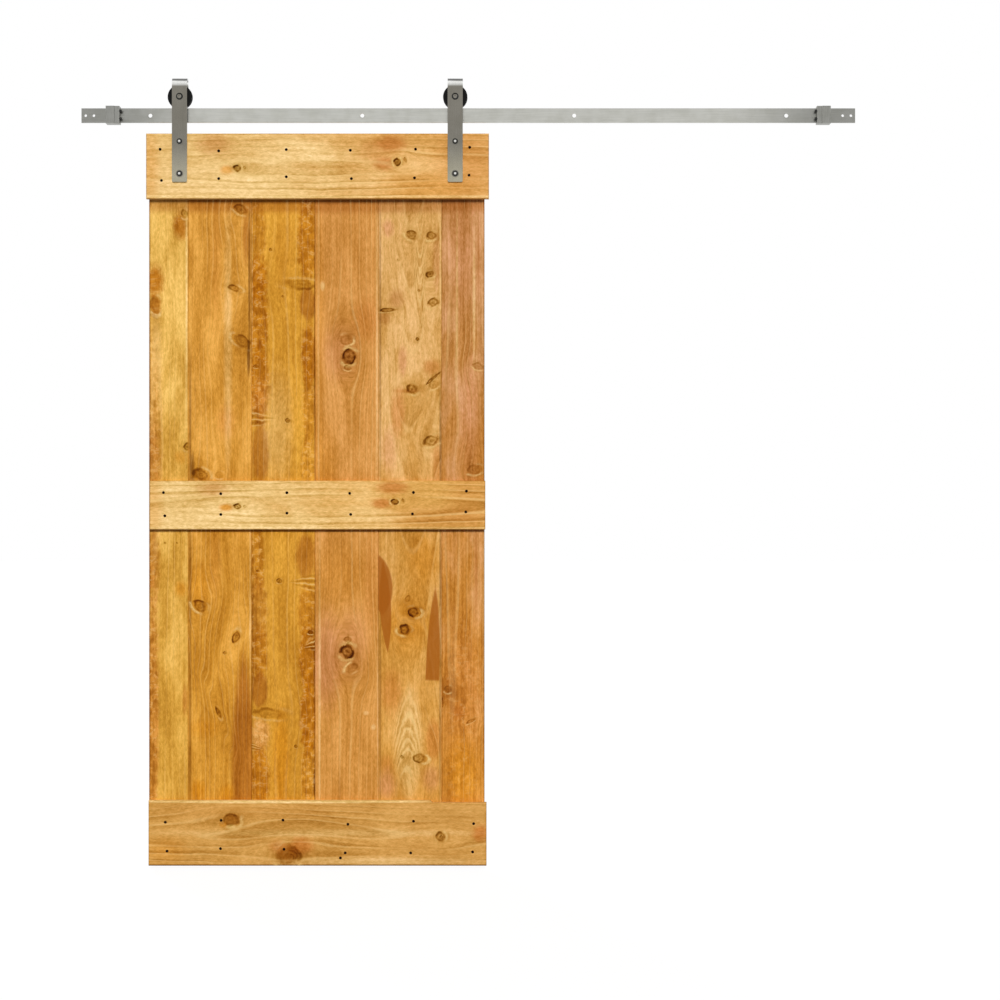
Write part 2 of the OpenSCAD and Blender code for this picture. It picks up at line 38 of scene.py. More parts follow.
SIDES = ("left", "right")
PLANKS = [f"plank_{number}" for number in range(1, 7)]
RAILS = ["top_rail", "middle_rail", "bottom_rail"]

# The photograph's frame, in pixels
PHOTO_WIDTH = 1000
PHOTO_MIDDLE = 500


def srgb(red, green, blue):
    """A colour as the eye reads it, from 0 to 255, turned into the linear light that shaders use."""
    def linear(level):
        share = level / 255
        return share / 12.92 if share <= 0.04045 else ((share + 0.055) / 1.055) ** 2.4
    return (linear(red), linear(green), linear(blue))


def opaque(colour):
    """The same colour with a full alpha channel, for a colour socket."""
    return (colour[0], colour[1], colour[2], 1.0)


def grey(level):
    """A grey of that linear brightness, for a colour socket."""
    return (level, level, level, 1.0)


# Settings

class PineSettings(bpy.types.PropertyGroup):
    """Stain colours and figure of the pine."""

    # Colours the dark seam lines, and also the painted shadow lines under the top and middle rails
    bark: bpy.props.FloatVectorProperty(
        name="Seam and painted shadow lines", description="Colour of the dark lines along seams and under the rails",
        subtype="COLOR", size=3, min=0, max=1, default=srgb(96, 44, 2))
    reddish: bpy.props.FloatVectorProperty(
        name="Reddish stain", description="Colour of the resin-rich patches that took more stain",
        subtype="COLOR", size=3, min=0, max=1, default=srgb(192, 112, 40))
    orange: bpy.props.FloatVectorProperty(
        name="Orange stain", description="Colour of the warm patches",
        subtype="COLOR", size=3, min=0, max=1, default=srgb(210, 132, 14))
    amber: bpy.props.FloatVectorProperty(
        name="Amber stain", description="Colour of the mottled amber strips",
        subtype="COLOR", size=3, min=0, max=1, default=srgb(182, 106, 6))
    # Colours the dark runs of stain, and also the painted soft shade band under the top rail
    brown: bpy.props.FloatVectorProperty(
        name="Brown stain and painted shade", description="Colour of the dark runs of stain",
        subtype="COLOR", size=3, min=0, max=1, default=srgb(164, 90, 20))
    pink: bpy.props.FloatVectorProperty(
        name="Pink sapwood", description="Colour of the rosy patches",
        subtype="COLOR", size=3, min=0, max=1, default=srgb(202, 134, 84))
    # Colours the pale grain lines, and also the painted highlight along the bottom rail's top edge
    pale: bpy.props.FloatVectorProperty(
        name="Pale early wood and painted highlight", description="Colour of the light lines in the grain",
        subtype="COLOR", size=3, min=0, max=1, default=srgb(246, 210, 140))
    grain_depth: bpy.props.FloatProperty(
        name="Grain depth", description="Depth of the raised grain",
        unit="LENGTH", min=0, max=0.002, default=0.0004)


class HardwareSettings(bpy.types.PropertyGroup):
    """Colours of the track, hangers, wheels and fasteners."""

    track: bpy.props.FloatVectorProperty(
        name="Track steel", description="Colour of the track bar and its stops",
        subtype="COLOR", size=3, min=0, max=1, default=srgb(221, 221, 214))
    strap: bpy.props.FloatVectorProperty(
        name="Strap steel", description="Colour of the strap's straight leg",
        subtype="COLOR", size=3, min=0, max=1, default=srgb(150, 146, 136))
    # Painted highlight over the strap's bend, also used for the painted highlight crowns of the strap bolts
    bend: bpy.props.FloatVectorProperty(
        name="Painted bend highlight", description="Colour of the strap where it is bent over the wheel",
        subtype="COLOR", size=3, min=0, max=1, default=srgb(255, 255, 252))
    # Painted shade: a darker band at the top of the bend, above the painted highlight
    crown: bpy.props.FloatVectorProperty(
        name="Painted strap crown shade", description="Colour of the strap at the top of its bend",
        subtype="COLOR", size=3, min=0, max=1, default=srgb(182, 182, 181))
    # Painted reflection: the strap turns lighter towards its lower end
    foot: bpy.props.FloatVectorProperty(
        name="Painted strap foot reflection", description="Colour of the strap at its lower end",
        subtype="COLOR", size=3, min=0, max=1, default=srgb(205, 199, 177))
    bolt: bpy.props.FloatVectorProperty(
        name="Bolt steel", description="Colour of bolts, nuts and washers",
        subtype="COLOR", size=3, min=0, max=1, default=srgb(168, 165, 158))
    rim: bpy.props.FloatVectorProperty(
        name="Bolt rim", description="Colour of the shaded rim around a bolt's head",
        subtype="COLOR", size=3, min=0, max=1, default=srgb(52, 54, 54))
    bearing: bpy.props.FloatVectorProperty(
        name="Bearing steel", description="Colour of the bearings",
        subtype="COLOR", size=3, min=0, max=1, default=srgb(214, 216, 218))
    nylon: bpy.props.FloatVectorProperty(
        name="Wheel nylon", description="Colour of the wheels",
        subtype="COLOR", size=3, min=0, max=1, default=srgb(14, 14, 14))
    rubber: bpy.props.FloatVectorProperty(
        name="Bumper rubber", description="Colour of the bumpers on the stops",
        subtype="COLOR", size=3, min=0, max=1, default=srgb(30, 30, 29))
    screw: bpy.props.FloatVectorProperty(
        name="Black screws", description="Colour of the screws in the rails",
        subtype="COLOR", size=3, min=0, max=1, default=srgb(24, 8, 4))
    edge_round: bpy.props.FloatProperty(
        name="Edge rounding", description="Rounding of the steel pieces' edges",
        unit="LENGTH", min=0, max=0.002, default=0.0005)


class StageSettings(bpy.types.PropertyGroup):
    """Floor, light and camera."""

    camera_distance: bpy.props.FloatProperty(
        name="Camera distance", description="Distance from the camera to the rails' front faces",
        unit="LENGTH", min=1, max=20, default=6.0)
    camera_x: bpy.props.FloatProperty(
        name="Camera place", description="Place of the camera along the track",
        unit="LENGTH", default=0.0924)
    camera_z: bpy.props.FloatProperty(
        name="Camera height", description="Height of the camera, seen from the track",
        unit="LENGTH", default=-1.1206)
    field_width: bpy.props.FloatProperty(
        name="Field width", description="Width of the view at the rails' front faces",
        unit="LENGTH", min=0.5, max=20, default=2.911)
    floor_gap: bpy.props.FloatProperty(
        name="Floor gap", description="Gap between the door and the floor",
        unit="LENGTH", min=0.005, max=1, default=0.015)
    key_strength: bpy.props.FloatProperty(
        name="Key light", description="Strength of the light from the front", min=0, max=10, default=2.2)
    key_height: bpy.props.FloatProperty(
        name="Key height", description="Angle of the key light over the floor",
        subtype="ANGLE", default=math.radians(30))
    softness: bpy.props.FloatProperty(
        name="Softness", description="Angle that the key light and the back light span",
        subtype="ANGLE", default=math.radians(9))
    back_strength: bpy.props.FloatProperty(
        name="Back light", description="Strength of the light from behind", min=0, max=10, default=1.4)
    back_height: bpy.props.FloatProperty(
        name="Back height", description="Angle of the back light over the floor",
        subtype="ANGLE", default=math.radians(24))
    fill: bpy.props.FloatProperty(
        name="Fill light", description="Strength of the light from all around", min=0, max=2, default=0.4)
    front_shade: bpy.props.FloatProperty(
        name="Front shade", description="Brightness of the room's front, as steel mirrors it",
        min=0, max=1, default=0.62)
    ceiling_shade: bpy.props.FloatProperty(
        name="Ceiling shade", description="Brightness of the room's ceiling, as steel mirrors it",
        min=0, max=1, default=0.4)


# Shader building

# The middle of a noise's range
NOISE_MIDDLE = 0.5


class Sketch:
    """Adds nodes to one tree, from left to right, and joins them."""

    COLUMN = 180

    # The colour mix node's sockets, by number, since those for other kinds of value have the same names
    MIX_AMOUNT, MIX_FIRST, MIX_SECOND, MIX_RESULT = 0, 6, 7, 2

    def __init__(self, tree):
        self.tree = tree
        self.count = 0

    def add(self, kind, **settings):
        node = self.tree.nodes.new(kind)
        for name, value in settings.items():
            setattr(node, name, value)
        node.location.x = self.COLUMN * self.count
        self.count += 1
        return node

    def feed(self, socket, value):
        if isinstance(value, bpy.types.NodeSocket):
            self.tree.links.new(value, socket)
        else:
            socket.default_value = value

    def math(self, operation, first, second=0.0):
        node = self.add("ShaderNodeMath", operation=operation)
        self.feed(node.inputs[0], first)
        self.feed(node.inputs[1], second)
        return node.outputs[0]

    def plus(self, base, value, share):
        """The base with a share of a value added to it."""
        return self.math("ADD", base, self.math("MULTIPLY", value, share))

    def vector(self, operation, first, second=(0.0, 0.0, 0.0)):
        node = self.add("ShaderNodeVectorMath", operation=operation)
        self.feed(node.inputs[0], first)
        self.feed(node.inputs[1], second)
        return node.outputs["Value" if operation == "LENGTH" else "Vector"]

    def split(self, vector):
        node = self.add("ShaderNodeSeparateXYZ")
        self.feed(node.inputs[0], vector)
        return node.outputs

    def part(self, vector, axis):
        """One coordinate of a vector, as a dot product, which keeps long chains of marks small."""
        node = self.add("ShaderNodeVectorMath", operation="DOT_PRODUCT")
        self.feed(node.inputs[0], vector)
        self.feed(node.inputs[1], tuple(float(letter == axis) for letter in "XYZ"))
        return node.outputs["Value"]

    def join(self, x, y, z):
        node = self.add("ShaderNodeCombineXYZ")
        for socket, value in zip(node.inputs, (x, y, z)):
            self.feed(socket, value)
        return node.outputs[0]

    def turn(self, vector, angle):
        node = self.add("ShaderNodeVectorRotate", rotation_type="Z_AXIS")
        self.feed(node.inputs["Vector"], vector)
        self.feed(node.inputs["Angle"], angle)
        return node.outputs[0]

    def noise(self, point, stretch, detail=2.0, roughness=0.5):
        """Noise in a range of about 0 to 1, with features one unit of the stretched point wide. The stretch
        is one number, or one for each direction."""
        if isinstance(stretch, float):
            stretch = (stretch, stretch, stretch)
        node = self.add("ShaderNodeTexNoise")
        self.feed(node.inputs["Vector"], self.vector("MULTIPLY", point, stretch))
        self.feed(node.inputs["Scale"], 1.0)
        self.feed(node.inputs["Detail"], detail)
        self.feed(node.inputs["Roughness"], roughness)
        return node.outputs[0]

    def ripple(self, point, stretch, detail=2.0, roughness=0.5):
        """The same noise with its middle at zero."""
        return self.math("SUBTRACT", self.noise(point, stretch, detail, roughness), NOISE_MIDDLE)

    def step(self, value, start, end, low=0.0, high=1.0):
        """A soft step from low at start to high at end."""
        node = self.add("ShaderNodeMapRange", interpolation_type="SMOOTHSTEP")
        for socket, number in zip(node.inputs, (value, start, end, low, high)):
            self.feed(socket, number)
        return node.outputs[0]

    def band(self, value, rise, fall):
        """A mask that rises along one soft step and falls along another."""
        return self.math("MULTIPLY", self.step(value, *rise), self.step(value, *fall))

    def mix(self, amount, first, second, mode="MIX"):
        node = self.add("ShaderNodeMix", data_type="RGBA", blend_type=mode)
        self.feed(node.inputs[self.MIX_AMOUNT], amount)
        self.feed(node.inputs[self.MIX_FIRST], first)
        self.feed(node.inputs[self.MIX_SECOND], second)
        return node.outputs[self.MIX_RESULT]

    def use(self, group, **values):
        """Places a node group and feeds its inputs, whose names have their spaces as low lines."""
        node = self.add("ShaderNodeGroup", node_tree=group)
        for name, value in values.items():
            self.feed(node.inputs[name.replace("_", " ").title()], value)
        return node.outputs

    def bump(self, height, distance, strength=1.0):
        node = self.add("ShaderNodeBump")
        self.feed(node.inputs["Strength"], strength)
        self.feed(node.inputs["Distance"], distance)
        self.feed(node.inputs["Height"], height)
        return node.outputs[0]


SOCKETS = {"vector": "NodeSocketVector", "value": "NodeSocketFloat", "colour": "NodeSocketColor"}


def shader_group(name, inputs, outputs):
    """Finds or starts a node group; a new one comes with a sketch, its inputs and its outputs."""
    known = bpy.data.node_groups.get(name)
    if known:
        return known, None, None, None
    tree = bpy.data.node_groups.new(name, "ShaderNodeTree")
    for label, kind in inputs.items():
        tree.interface.new_socket(label, in_out="INPUT", socket_type=SOCKETS[kind])
    for label, kind in outputs.items():
        tree.interface.new_socket(label, in_out="OUTPUT", socket_type=SOCKETS[kind])
    sketch = Sketch(tree)
    given = sketch.add("NodeGroupInput").outputs
    result = sketch.add("NodeGroupOutput").inputs
    return tree, sketch, given, result


def from_mark(s, given):
    """The way from a mark's middle, in metres, and the same in the mark's own directions and half sizes."""
    offset = s.vector("MULTIPLY", s.vector("SUBTRACT", given["Point"], given["Place"]), (1.0, 1.0, 0.0))
    return offset, s.vector("DIVIDE", s.turn(offset, given["Turn"]), given["Half Size"])


def raggedness_group():
    """Noise that roughens the edges of knots and stains. Its point is in metres."""
    tree, s, given, result = shader_group(
        "Ragged edges", {"Point": "vector"}, {"Knots": "value", "Patches": "value", "Stains": "value"})
    if s is None:
        return tree
    coarse_scale, fine_scale, patch_scale, stain_scale = 48.0, 330.0, 110.0, (95.0, 60.0, 95.0)
    coarse_share, fine_share = 0.85, 0.14
    patch_edge = (0.4, 0.6)

    point = given["Point"]
    coarse = s.math("MULTIPLY", s.ripple(point, coarse_scale), coarse_share)
    s.feed(result["Knots"], s.plus(coarse, s.ripple(point, fine_scale), fine_share))
    s.feed(result["Patches"], s.step(s.noise(point, patch_scale), *patch_edge))
    s.feed(result["Stains"], s.ripple(point, stain_scale, detail=5.0, roughness=0.66))
    return tree


def knot_group():
    """A knot: bends the grain around it and adds to the masks of its heart, bark line and pale arcs."""
    tree, s, given, result = shader_group(
        "Knot",
        {"Point": "vector", "Place": "vector", "Half Size": "vector", "Turn": "value", "Lean": "value",
         "Darkness": "value", "Paleness": "value", "Swirl": "value", "Ragged": "value", "Patches": "value",
         "Flow": "value", "Heart": "value", "Bark": "value", "Halo": "value"},
        {"Flow": "value", "Heart": "value", "Bark": "value", "Halo": "value"})
    if s is None:
        return tree
    # Edges are in half sizes of the knot: where a mask starts, and where it is full
    half_share, quarter_share = 0.55, 0.45
    ring_waves, ring_depth = 11.0, 0.16
    fill_least, fill_patches = 0.54, 0.3
    heart_edge, glow_edge, glow_depth = (1.1, 0.86), (2.5, 0.9), 0.2
    bark_inside, bark_outside, bark_side = (0.66, 0.94), (1.26, 1.0), (-0.2, 0.5)
    arc_shape, arc_shake, arc_least = (0.82, 1.0, 0.0), 0.7, 0.5
    arc_inside, arc_outside, arc_side = (0.98, 1.16), (1.66, 1.22), (0.15, -0.45)
    pull_shape = (0.36, 0.17, 0.0)

    offset, unit = from_mark(s, given)
    reach = s.math("ADD", s.vector("LENGTH", unit), given["Ragged"])
    angle = s.math("ADD", s.math("ARCTAN2", s.part(unit, "Y"), s.part(unit, "X")), given["Lean"])
    halves = s.math("MULTIPLY", s.math("SINE", angle), half_share)
    side = s.plus(halves, s.math("SINE", s.math("MULTIPLY", angle, 2.0)), quarter_share)
    year_rings = s.math("SINE", s.math("MULTIPLY", reach, ring_waves))
    fill = s.plus(s.plus(fill_least, given["Patches"], fill_patches), year_rings, ring_depth)
    heart = s.math("MULTIPLY", s.step(reach, *heart_edge), fill)
    glow = s.math("MULTIPLY", s.step(reach, *glow_edge), glow_depth)
    heart = s.math("MAXIMUM", heart, glow)
    bark = s.math("MULTIPLY", s.band(reach, bark_inside, bark_outside), s.step(side, *bark_side))
    arcs = s.plus(s.vector("LENGTH", s.vector("MULTIPLY", unit, arc_shape)), given["Ragged"], arc_shake)
    broken = s.plus(arc_least, given["Patches"], 1.0 - arc_least)
    halo = s.math("MULTIPLY", s.band(arcs, arc_inside, arc_outside), broken)
    halo = s.math("MULTIPLY", halo, s.step(side, *arc_side))
    wide = s.vector("LENGTH", s.vector("MULTIPLY", unit, pull_shape))
    pull = s.math("EXPONENT", s.math("MULTIPLY", s.math("MULTIPLY", wide, wide), -1.0))
    pull = s.math("MULTIPLY", s.math("MULTIPLY", pull, given["Swirl"]), s.part(offset, "X"))
    s.feed(result["Flow"], s.math("SUBTRACT", given["Flow"], pull))
    for label, mask, amount in (("Heart", heart, "Darkness"), ("Bark", bark, "Darkness"),
                                ("Halo", halo, "Paleness")):
        s.feed(result[label], s.math("MAXIMUM", given[label], s.math("MULTIPLY", mask, given[amount])))
    return tree


def spike_group():
    """A branch cut lengthwise: a wedge of dark and pale lines from a board's edge towards its middle."""
    tree, s, given, result = shader_group(
        "Branch spike",
        {"Point": "vector", "Place": "vector", "Half Size": "vector", "Turn": "value", "Amount": "value",
         "Ragged": "value", "Heart": "value", "Halo": "value"},
        {"Heart": "value", "Halo": "value"})
    if s is None:
        return tree
    opening_run, opening_span = (1.1, -0.9), (0.4, 1.0)
    shake, slant = 0.6, 0.7
    side_edge, tip_edge = (1.2, 0.7), (1.1, 0.1)
    line_waves, pale_lines = 8.5, (0.5, 1.0)
    dark_lines, dark_span = (0.4, -0.9), (0.2, 0.9)

    _, unit = from_mark(s, given)
    onward, downward = s.part(unit, "X"), s.part(unit, "Y")
    opening = s.step(onward, *opening_run, *opening_span)
    level = s.plus(s.math("DIVIDE", downward, opening), given["Ragged"], shake)
    from_middle = s.math("ABSOLUTE", level)
    slanted = s.plus(onward, from_middle, slant)
    inside = s.math("MULTIPLY", s.step(from_middle, *side_edge), s.step(slanted, *tip_edge))
    lines = s.math("SINE", s.math("MULTIPLY", level, line_waves))
    pale = s.math("MULTIPLY", inside, s.step(lines, *pale_lines))
    dark = s.math("MULTIPLY", inside, s.step(lines, *dark_lines, *dark_span))
    for label, mask in (("Heart", dark), ("Halo", pale)):
        s.feed(result[label], s.math("MAXIMUM", given[label], s.math("MULTIPLY", mask, given["Amount"])))
    return tree


def arch_group():
    """Nested arches of pale and dark lines, as where a plank is sawn through the tops of its rings."""
    tree, s, given, result = shader_group(
        "Ring arches",
        {"Point": "vector", "Place": "vector", "Half Size": "vector", "Turn": "value", "Amount": "value",
         "Ragged": "value", "Heart": "value", "Halo": "value"},
        {"Heart": "value", "Halo": "value"})
    if s is None:
        return tree
    steepness, shake, fade_edge = 1.4, 0.3, (1.1, 0.5)
    line_waves, drift_waves, drift = 23.0, 6.0, 1.5
    pale_lines, dark_lines, dark_span = (0.2, 1.0), (0.0, -1.0), (0.0, 0.4)

    _, unit = from_mark(s, given)
    sideways, downward = s.part(unit, "X"), s.part(unit, "Y")
    bend = s.math("MULTIPLY", s.math("MULTIPLY", sideways, sideways), steepness)
    level = s.plus(s.math("SUBTRACT", downward, bend), given["Ragged"], shake)
    inside = s.step(s.vector("LENGTH", unit), *fade_edge)
    drifting = s.math("MULTIPLY", s.math("SINE", s.math("MULTIPLY", level, drift_waves)), drift)
    lines = s.math("SINE", s.plus(drifting, level, line_waves))
    pale = s.math("MULTIPLY", inside, s.step(lines, *pale_lines))
    dark = s.math("MULTIPLY", inside, s.step(lines, *dark_lines, *dark_span))
    for label, mask in (("Heart", dark), ("Halo", pale)):
        s.feed(result[label], s.math("MAXIMUM", given[label], s.math("MULTIPLY", mask, given["Amount"])))
    return tree


def stain_group():
    """A patch of another colour with a soft or sharp, more or less ragged edge, and a flat foot if asked."""
    tree, s, given, result = shader_group(
        "Stain patch",
        {"Colour": "colour", "Point": "vector", "Place": "vector", "Half Size": "vector", "Turn": "value",
         "Tint": "colour", "Amount": "value", "Softness": "value", "Shake": "value", "Ragged": "value",
         "Pointed": "value", "Flat Foot": "value", "Curly": "value", "Curls": "value"},
        {"Colour": "colour", "Curls": "value"})
    if s is None:
        return tree
    foot_edge = (0.0, 0.03)

    _, unit = from_mark(s, given)
    sideways, downward = s.part(unit, "X"), s.part(unit, "Y")
    round_reach = s.vector("LENGTH", unit)
    leaf_reach = s.plus(s.math("ABSOLUTE", sideways), downward, downward)
    reach = s.plus(round_reach, s.math("SUBTRACT", leaf_reach, round_reach), given["Pointed"])
    reach = s.plus(reach, given["Shake"], given["Ragged"])
    mask = s.step(reach, s.math("ADD", 1.0, given["Softness"]), s.math("SUBTRACT", 1.0, given["Softness"]))
    below = s.step(downward, *foot_edge)
    mask = s.math("MULTIPLY", mask, s.math("SUBTRACT", 1.0, s.math("MULTIPLY", below, given["Flat Foot"])))
    s.feed(result["Colour"], s.mix(s.math("MULTIPLY", mask, given["Amount"]), given["Colour"], given["Tint"]))
    s.feed(result["Curls"], s.math("MAXIMUM", given["Curls"], s.math("MULTIPLY", mask, given["Curly"])))
    return tree


def pine_group():
    """Figure of a flat-sawn pine board. Its point runs across, along and into the board, in metres."""
    tree, s, given, result = shader_group(
        "Pine figure",
        {"Point": "vector", "Flow": "value", "Pith": "value", "Pith Depth": "value", "Pith Slope": "value",
         "Pith Turn": "value", "Ring Gap": "value", "Wave": "value"},
        {"Rings": "value", "Lines": "value", "Streaks": "value", "Mottle": "value", "Flecks": "value",
         "Wisps": "value", "Blotches": "value", "Tone": "value", "Height": "value"})
    if s is None:
        return tree
    # How many features each noise has to a metre, across, along and into the board
    wander_scale, shiver_scale, seen_scale = (7.0, 1.9, 7.0), (40.0, 9.0, 40.0), (11.0, 2.6, 11.0)
    streak_scale, fleck_scale, mottle_scale = (130.0, 2.2, 130.0), (420.0, 85.0, 420.0), (110.0, 45.0, 110.0)
    tone_scale, blotch_scale, swirl_scale = (17.0, 5.0, 17.0), (58.0, 42.0, 58.0), (30.0, 52.0, 30.0)
    # How far the rings shiver, in metres, how the years differ, and where the rings fade
    shiver_width, year_scale, seen_edge, seen_span = 0.005, 0.9, (0.36, 0.62), (0.12, 1.0)
    # The parts of a year's ring that are dark and pale, and where wisps show
    dark_rise, dark_fall = (0.4, 0.76), (0.86, 0.78)
    pale_rise, pale_fall = (0.78, 0.9), (1.0, 0.92)
    wisp_edge, wisp_places = (0.06, 0.0), (0.56, 0.4)

    point = given["Point"]
    place = s.split(point)
    sway = s.math("MULTIPLY", s.ripple(point, wander_scale, detail=3.0), given["Wave"])
    sway = s.plus(sway, s.ripple(point, shiver_scale), shiver_width)
    across = s.math("ADD", s.math("ADD", place["X"], given["Flow"]), sway)
    from_pith = s.math("SUBTRACT", across, given["Pith"])
    turned = s.math("ABSOLUTE", s.math("SUBTRACT", place["Y"], given["Pith Turn"]))
    depth = s.plus(s.math("ADD", place["Z"], given["Pith Depth"]), turned, given["Pith Slope"])
    radius = s.math("SQRT", s.plus(s.math("MULTIPLY", from_pith, from_pith), depth, depth))
    years = s.math("DIVIDE", radius, given["Ring Gap"])
    uneven = s.noise(s.join(s.math("MULTIPLY", years, year_scale), 0.0, 0.0), 1.0, detail=1.0)
    year = s.math("FRACT", s.math("ADD", years, uneven))
    seen = s.step(s.noise(point, seen_scale), *seen_edge, *seen_span)
    s.feed(result["Rings"], s.math("MULTIPLY", s.band(year, dark_rise, dark_fall), seen))
    s.feed(result["Lines"], s.math("MULTIPLY", s.band(year, pale_rise, pale_fall), seen))

    bent = s.join(across, place["Y"], place["Z"])
    streaks = s.noise(bent, streak_scale, detail=4.0, roughness=0.62)
    flecks = s.noise(bent, fleck_scale, detail=3.0, roughness=0.7)
    mottle = s.noise(bent, mottle_scale, detail=3.0, roughness=0.6)
    tone = s.noise(bent, tone_scale, detail=3.0, roughness=0.55)
    blotches = s.noise(bent, blotch_scale, detail=4.0, roughness=0.58)
    for label, mask, edge in (("Streaks", streaks, (0.28, 0.72)), ("Mottle", mottle, (0.28, 0.72)),
                              ("Flecks", flecks, (0.25, 0.75)), ("Blotches", blotches, (0.36, 0.64)),
                              ("Tone", tone, (0.3, 0.7))):
        s.feed(result[label], s.step(mask, *edge))
    ridge = s.math("ABSOLUTE", s.ripple(bent, swirl_scale))
    s.feed(result["Wisps"], s.math("MULTIPLY", s.step(ridge, *wisp_edge), s.step(blotches, *wisp_places)))
    s.feed(result["Height"], s.noise(point, fleck_scale, detail=3.0, roughness=0.7))
    return tree


def wood_shade_group():
    """Darkens or lightens wood as stain does: what is darker is also redder."""
    tree, s, given, result = shader_group(
        "Wood shade", {"Colour": "colour", "Shade": "value"}, {"Colour": "colour"})
    if s is None:
        return tree
    darkest, green_power, blue_power = 0.03, 1.38, 2.6

    shade = s.math("MAXIMUM", given["Shade"], darkest)
    tint = s.join(shade, s.math("POWER", shade, green_power), s.math("POWER", shade, blue_power))
    s.feed(result["Colour"], s.mix(1.0, given["Colour"], tint, "MULTIPLY"))
    return tree


def edge_group():
    """Mask of the band along a board's four edges, broken up as wear is; darkened, it paints shade into the
    seams along with wear.
    """
    tree, s, given, result = shader_group(
        "Edge band", {"Point": "vector", "Size": "vector", "Width": "value"}, {"Mask": "value"})
    if s is None:
        return tree
    wear_scale, least_width, worn_width = (90.0, 25.0, 90.0), 0.4, 1.2

    here = s.split(given["Point"])
    size = s.split(given["Size"])
    far_x = s.math("SUBTRACT", size["X"], here["X"])
    far_y = s.math("SUBTRACT", size["Y"], here["Y"])
    nearest = s.math("MINIMUM", s.math("MINIMUM", here["X"], far_x), s.math("MINIMUM", here["Y"], far_y))
    worn = s.noise(given["Point"], wear_scale, detail=4.0, roughness=0.6)
    width = s.math("MULTIPLY", given["Width"], s.plus(least_width, worn, worn_width))
    s.feed(result["Mask"], s.step(nearest, width, 0.0))
    return tree


def brushed_group():
    """Brush lines of steel along the short direction of Stretch, with slow smudges."""
    tree, s, given, result = shader_group(
        "Brushed steel", {"Point": "vector", "Stretch": "vector"},
        {"Lines": "value", "Smudges": "value", "Height": "value"})
    if s is None:
        return tree
    line_edge, smudge_scale, smudge_edge = (0.3, 0.7), 21.0, (0.32, 0.7)

    stretched = s.vector("MULTIPLY", given["Point"], given["Stretch"])
    lines = s.noise(stretched, 1.0, detail=3.0, roughness=0.65)
    smudges = s.noise(given["Point"], smudge_scale, detail=3.0, roughness=0.6)
    s.feed(result["Lines"], s.step(lines, *line_edge))
    s.feed(result["Smudges"], s.step(smudges, *smudge_edge))
    s.feed(result["Height"], lines)
    return tree


def head_group():
    """Masks of a round bolt head: its painted shaded rim and its crown, where a painted highlight goes. Its
    point is in metres.
    """
    tree, s, given, result = shader_group(
        "Bolt head", {"Point": "vector", "Centre": "vector", "Radius": "value"},
        {"Rim": "value", "Crown": "value"})
    if s is None:
        return tree
    # Edges are in radii of the head
    rim_inside, rim_outside, crown_edge = (0.45, 0.72), (1.16, 1.02), (0.5, 0.25)

    offset = s.vector("MULTIPLY", s.vector("SUBTRACT", given["Point"], given["Centre"]), (1.0, 0.0, 1.0))
    reach = s.math("DIVIDE", s.vector("LENGTH", offset), given["Radius"])
    s.feed(result["Rim"], s.band(reach, rim_inside, rim_outside))
    s.feed(result["Crown"], s.step(reach, *crown_edge))
    return tree


def speckle_group():
    """Fine pebbled skin of moulded, coated and rolled surfaces."""
    tree, s, given, result = shader_group(
        "Speckle", {"Point": "vector", "Scale": "value"}, {"Grain": "value", "Patches": "value"})
    if s is None:
        return tree
    patch_scale, patch_edge = 0.06, (0.3, 0.7)

    fine = s.vector("SCALE", given["Point"])
    s.feed(fine.node.inputs["Scale"], given["Scale"])
    s.feed(result["Grain"], s.noise(fine, 1.0, detail=3.0, roughness=0.6))
    s.feed(result["Patches"], s.step(s.noise(fine, patch_scale, detail=3.0), *patch_edge))
    return tree


def new_material(name):
    """An empty material with a Principled shader: its sketch, its shader and the place on the piece."""
    material = bpy.data.materials.new(name)
    material.use_nodes = True
    material.node_tree.nodes.clear()
    sketch = Sketch(material.node_tree)
    place = sketch.add("ShaderNodeTexCoord").outputs["Object"]
    shader = sketch.add("ShaderNodeBsdfPrincipled")
    output = sketch.add("ShaderNodeOutputMaterial")
    sketch.feed(output.inputs["Surface"], shader.outputs["BSDF"])
    return material, sketch, shader.inputs, place


def dress(node_names, material):
    """Gives CAD nodes a material."""
    for name in node_names:
        if name not in NODES:
            raise RuntimeError(f"the frame has no node named {name}")
        NODES[name].data.materials.clear()
        NODES[name].data.materials.append(material)


def round_edges(node_names, width, segments=2):
    """Breaks the sharp edges of CAD nodes with modifiers."""
    weld_gap, sharp_angle = 1e-6, math.radians(40)
    for name in node_names:
        weld = NODES[name].modifiers.new("Weld", "WELD")
        weld.merge_threshold = weld_gap
        bevel = NODES[name].modifiers.new("Eased edges", "BEVEL")
        bevel.width = width
        bevel.segments = segments
        bevel.limit_method = "ANGLE"
        bevel.angle_limit = sharp_angle
        bevel.harden_normals = True


# Pine

class Knot(NamedTuple):
    """A knot by its pixel in the photograph, with half its width and height in pixels."""
    px: float
    py: float
    half_w: float
    half_h: float
    turn: float = 0.0
    dark: float = 0.6
    swirl: float = 0.7
    pale: float = 0.6
    lean: float = 200.0


class Spike(NamedTuple):
    """A branch cut lengthwise, by its middle's pixel. It points right, or left if its width is negative."""
    px: float
    py: float
    half_w: float
    half_h: float
    turn: float = 0.0
    amount: float = 0.8


class Arches(NamedTuple):
    """Nested ring tops by their middle's pixel, with half their width and height in pixels."""
    px: float
    py: float
    half_w: float
    half_h: float
    turn: float = 0.0
    amount: float = 0.5


class Stain(NamedTuple):
    """A patch of colour by its pixel in the photograph, with half its width and height in pixels."""
    px: float
    py: float
    half_w: float
    half_h: float
    tint: str = "reddish"
    amount: float = 0.5
    soft: float = 0.5
    ragged: float = 0.7
    turn: float = 0.0
    pointed: float = 0.0
    flat_foot: float = 0.0
    curly: float = 0.0


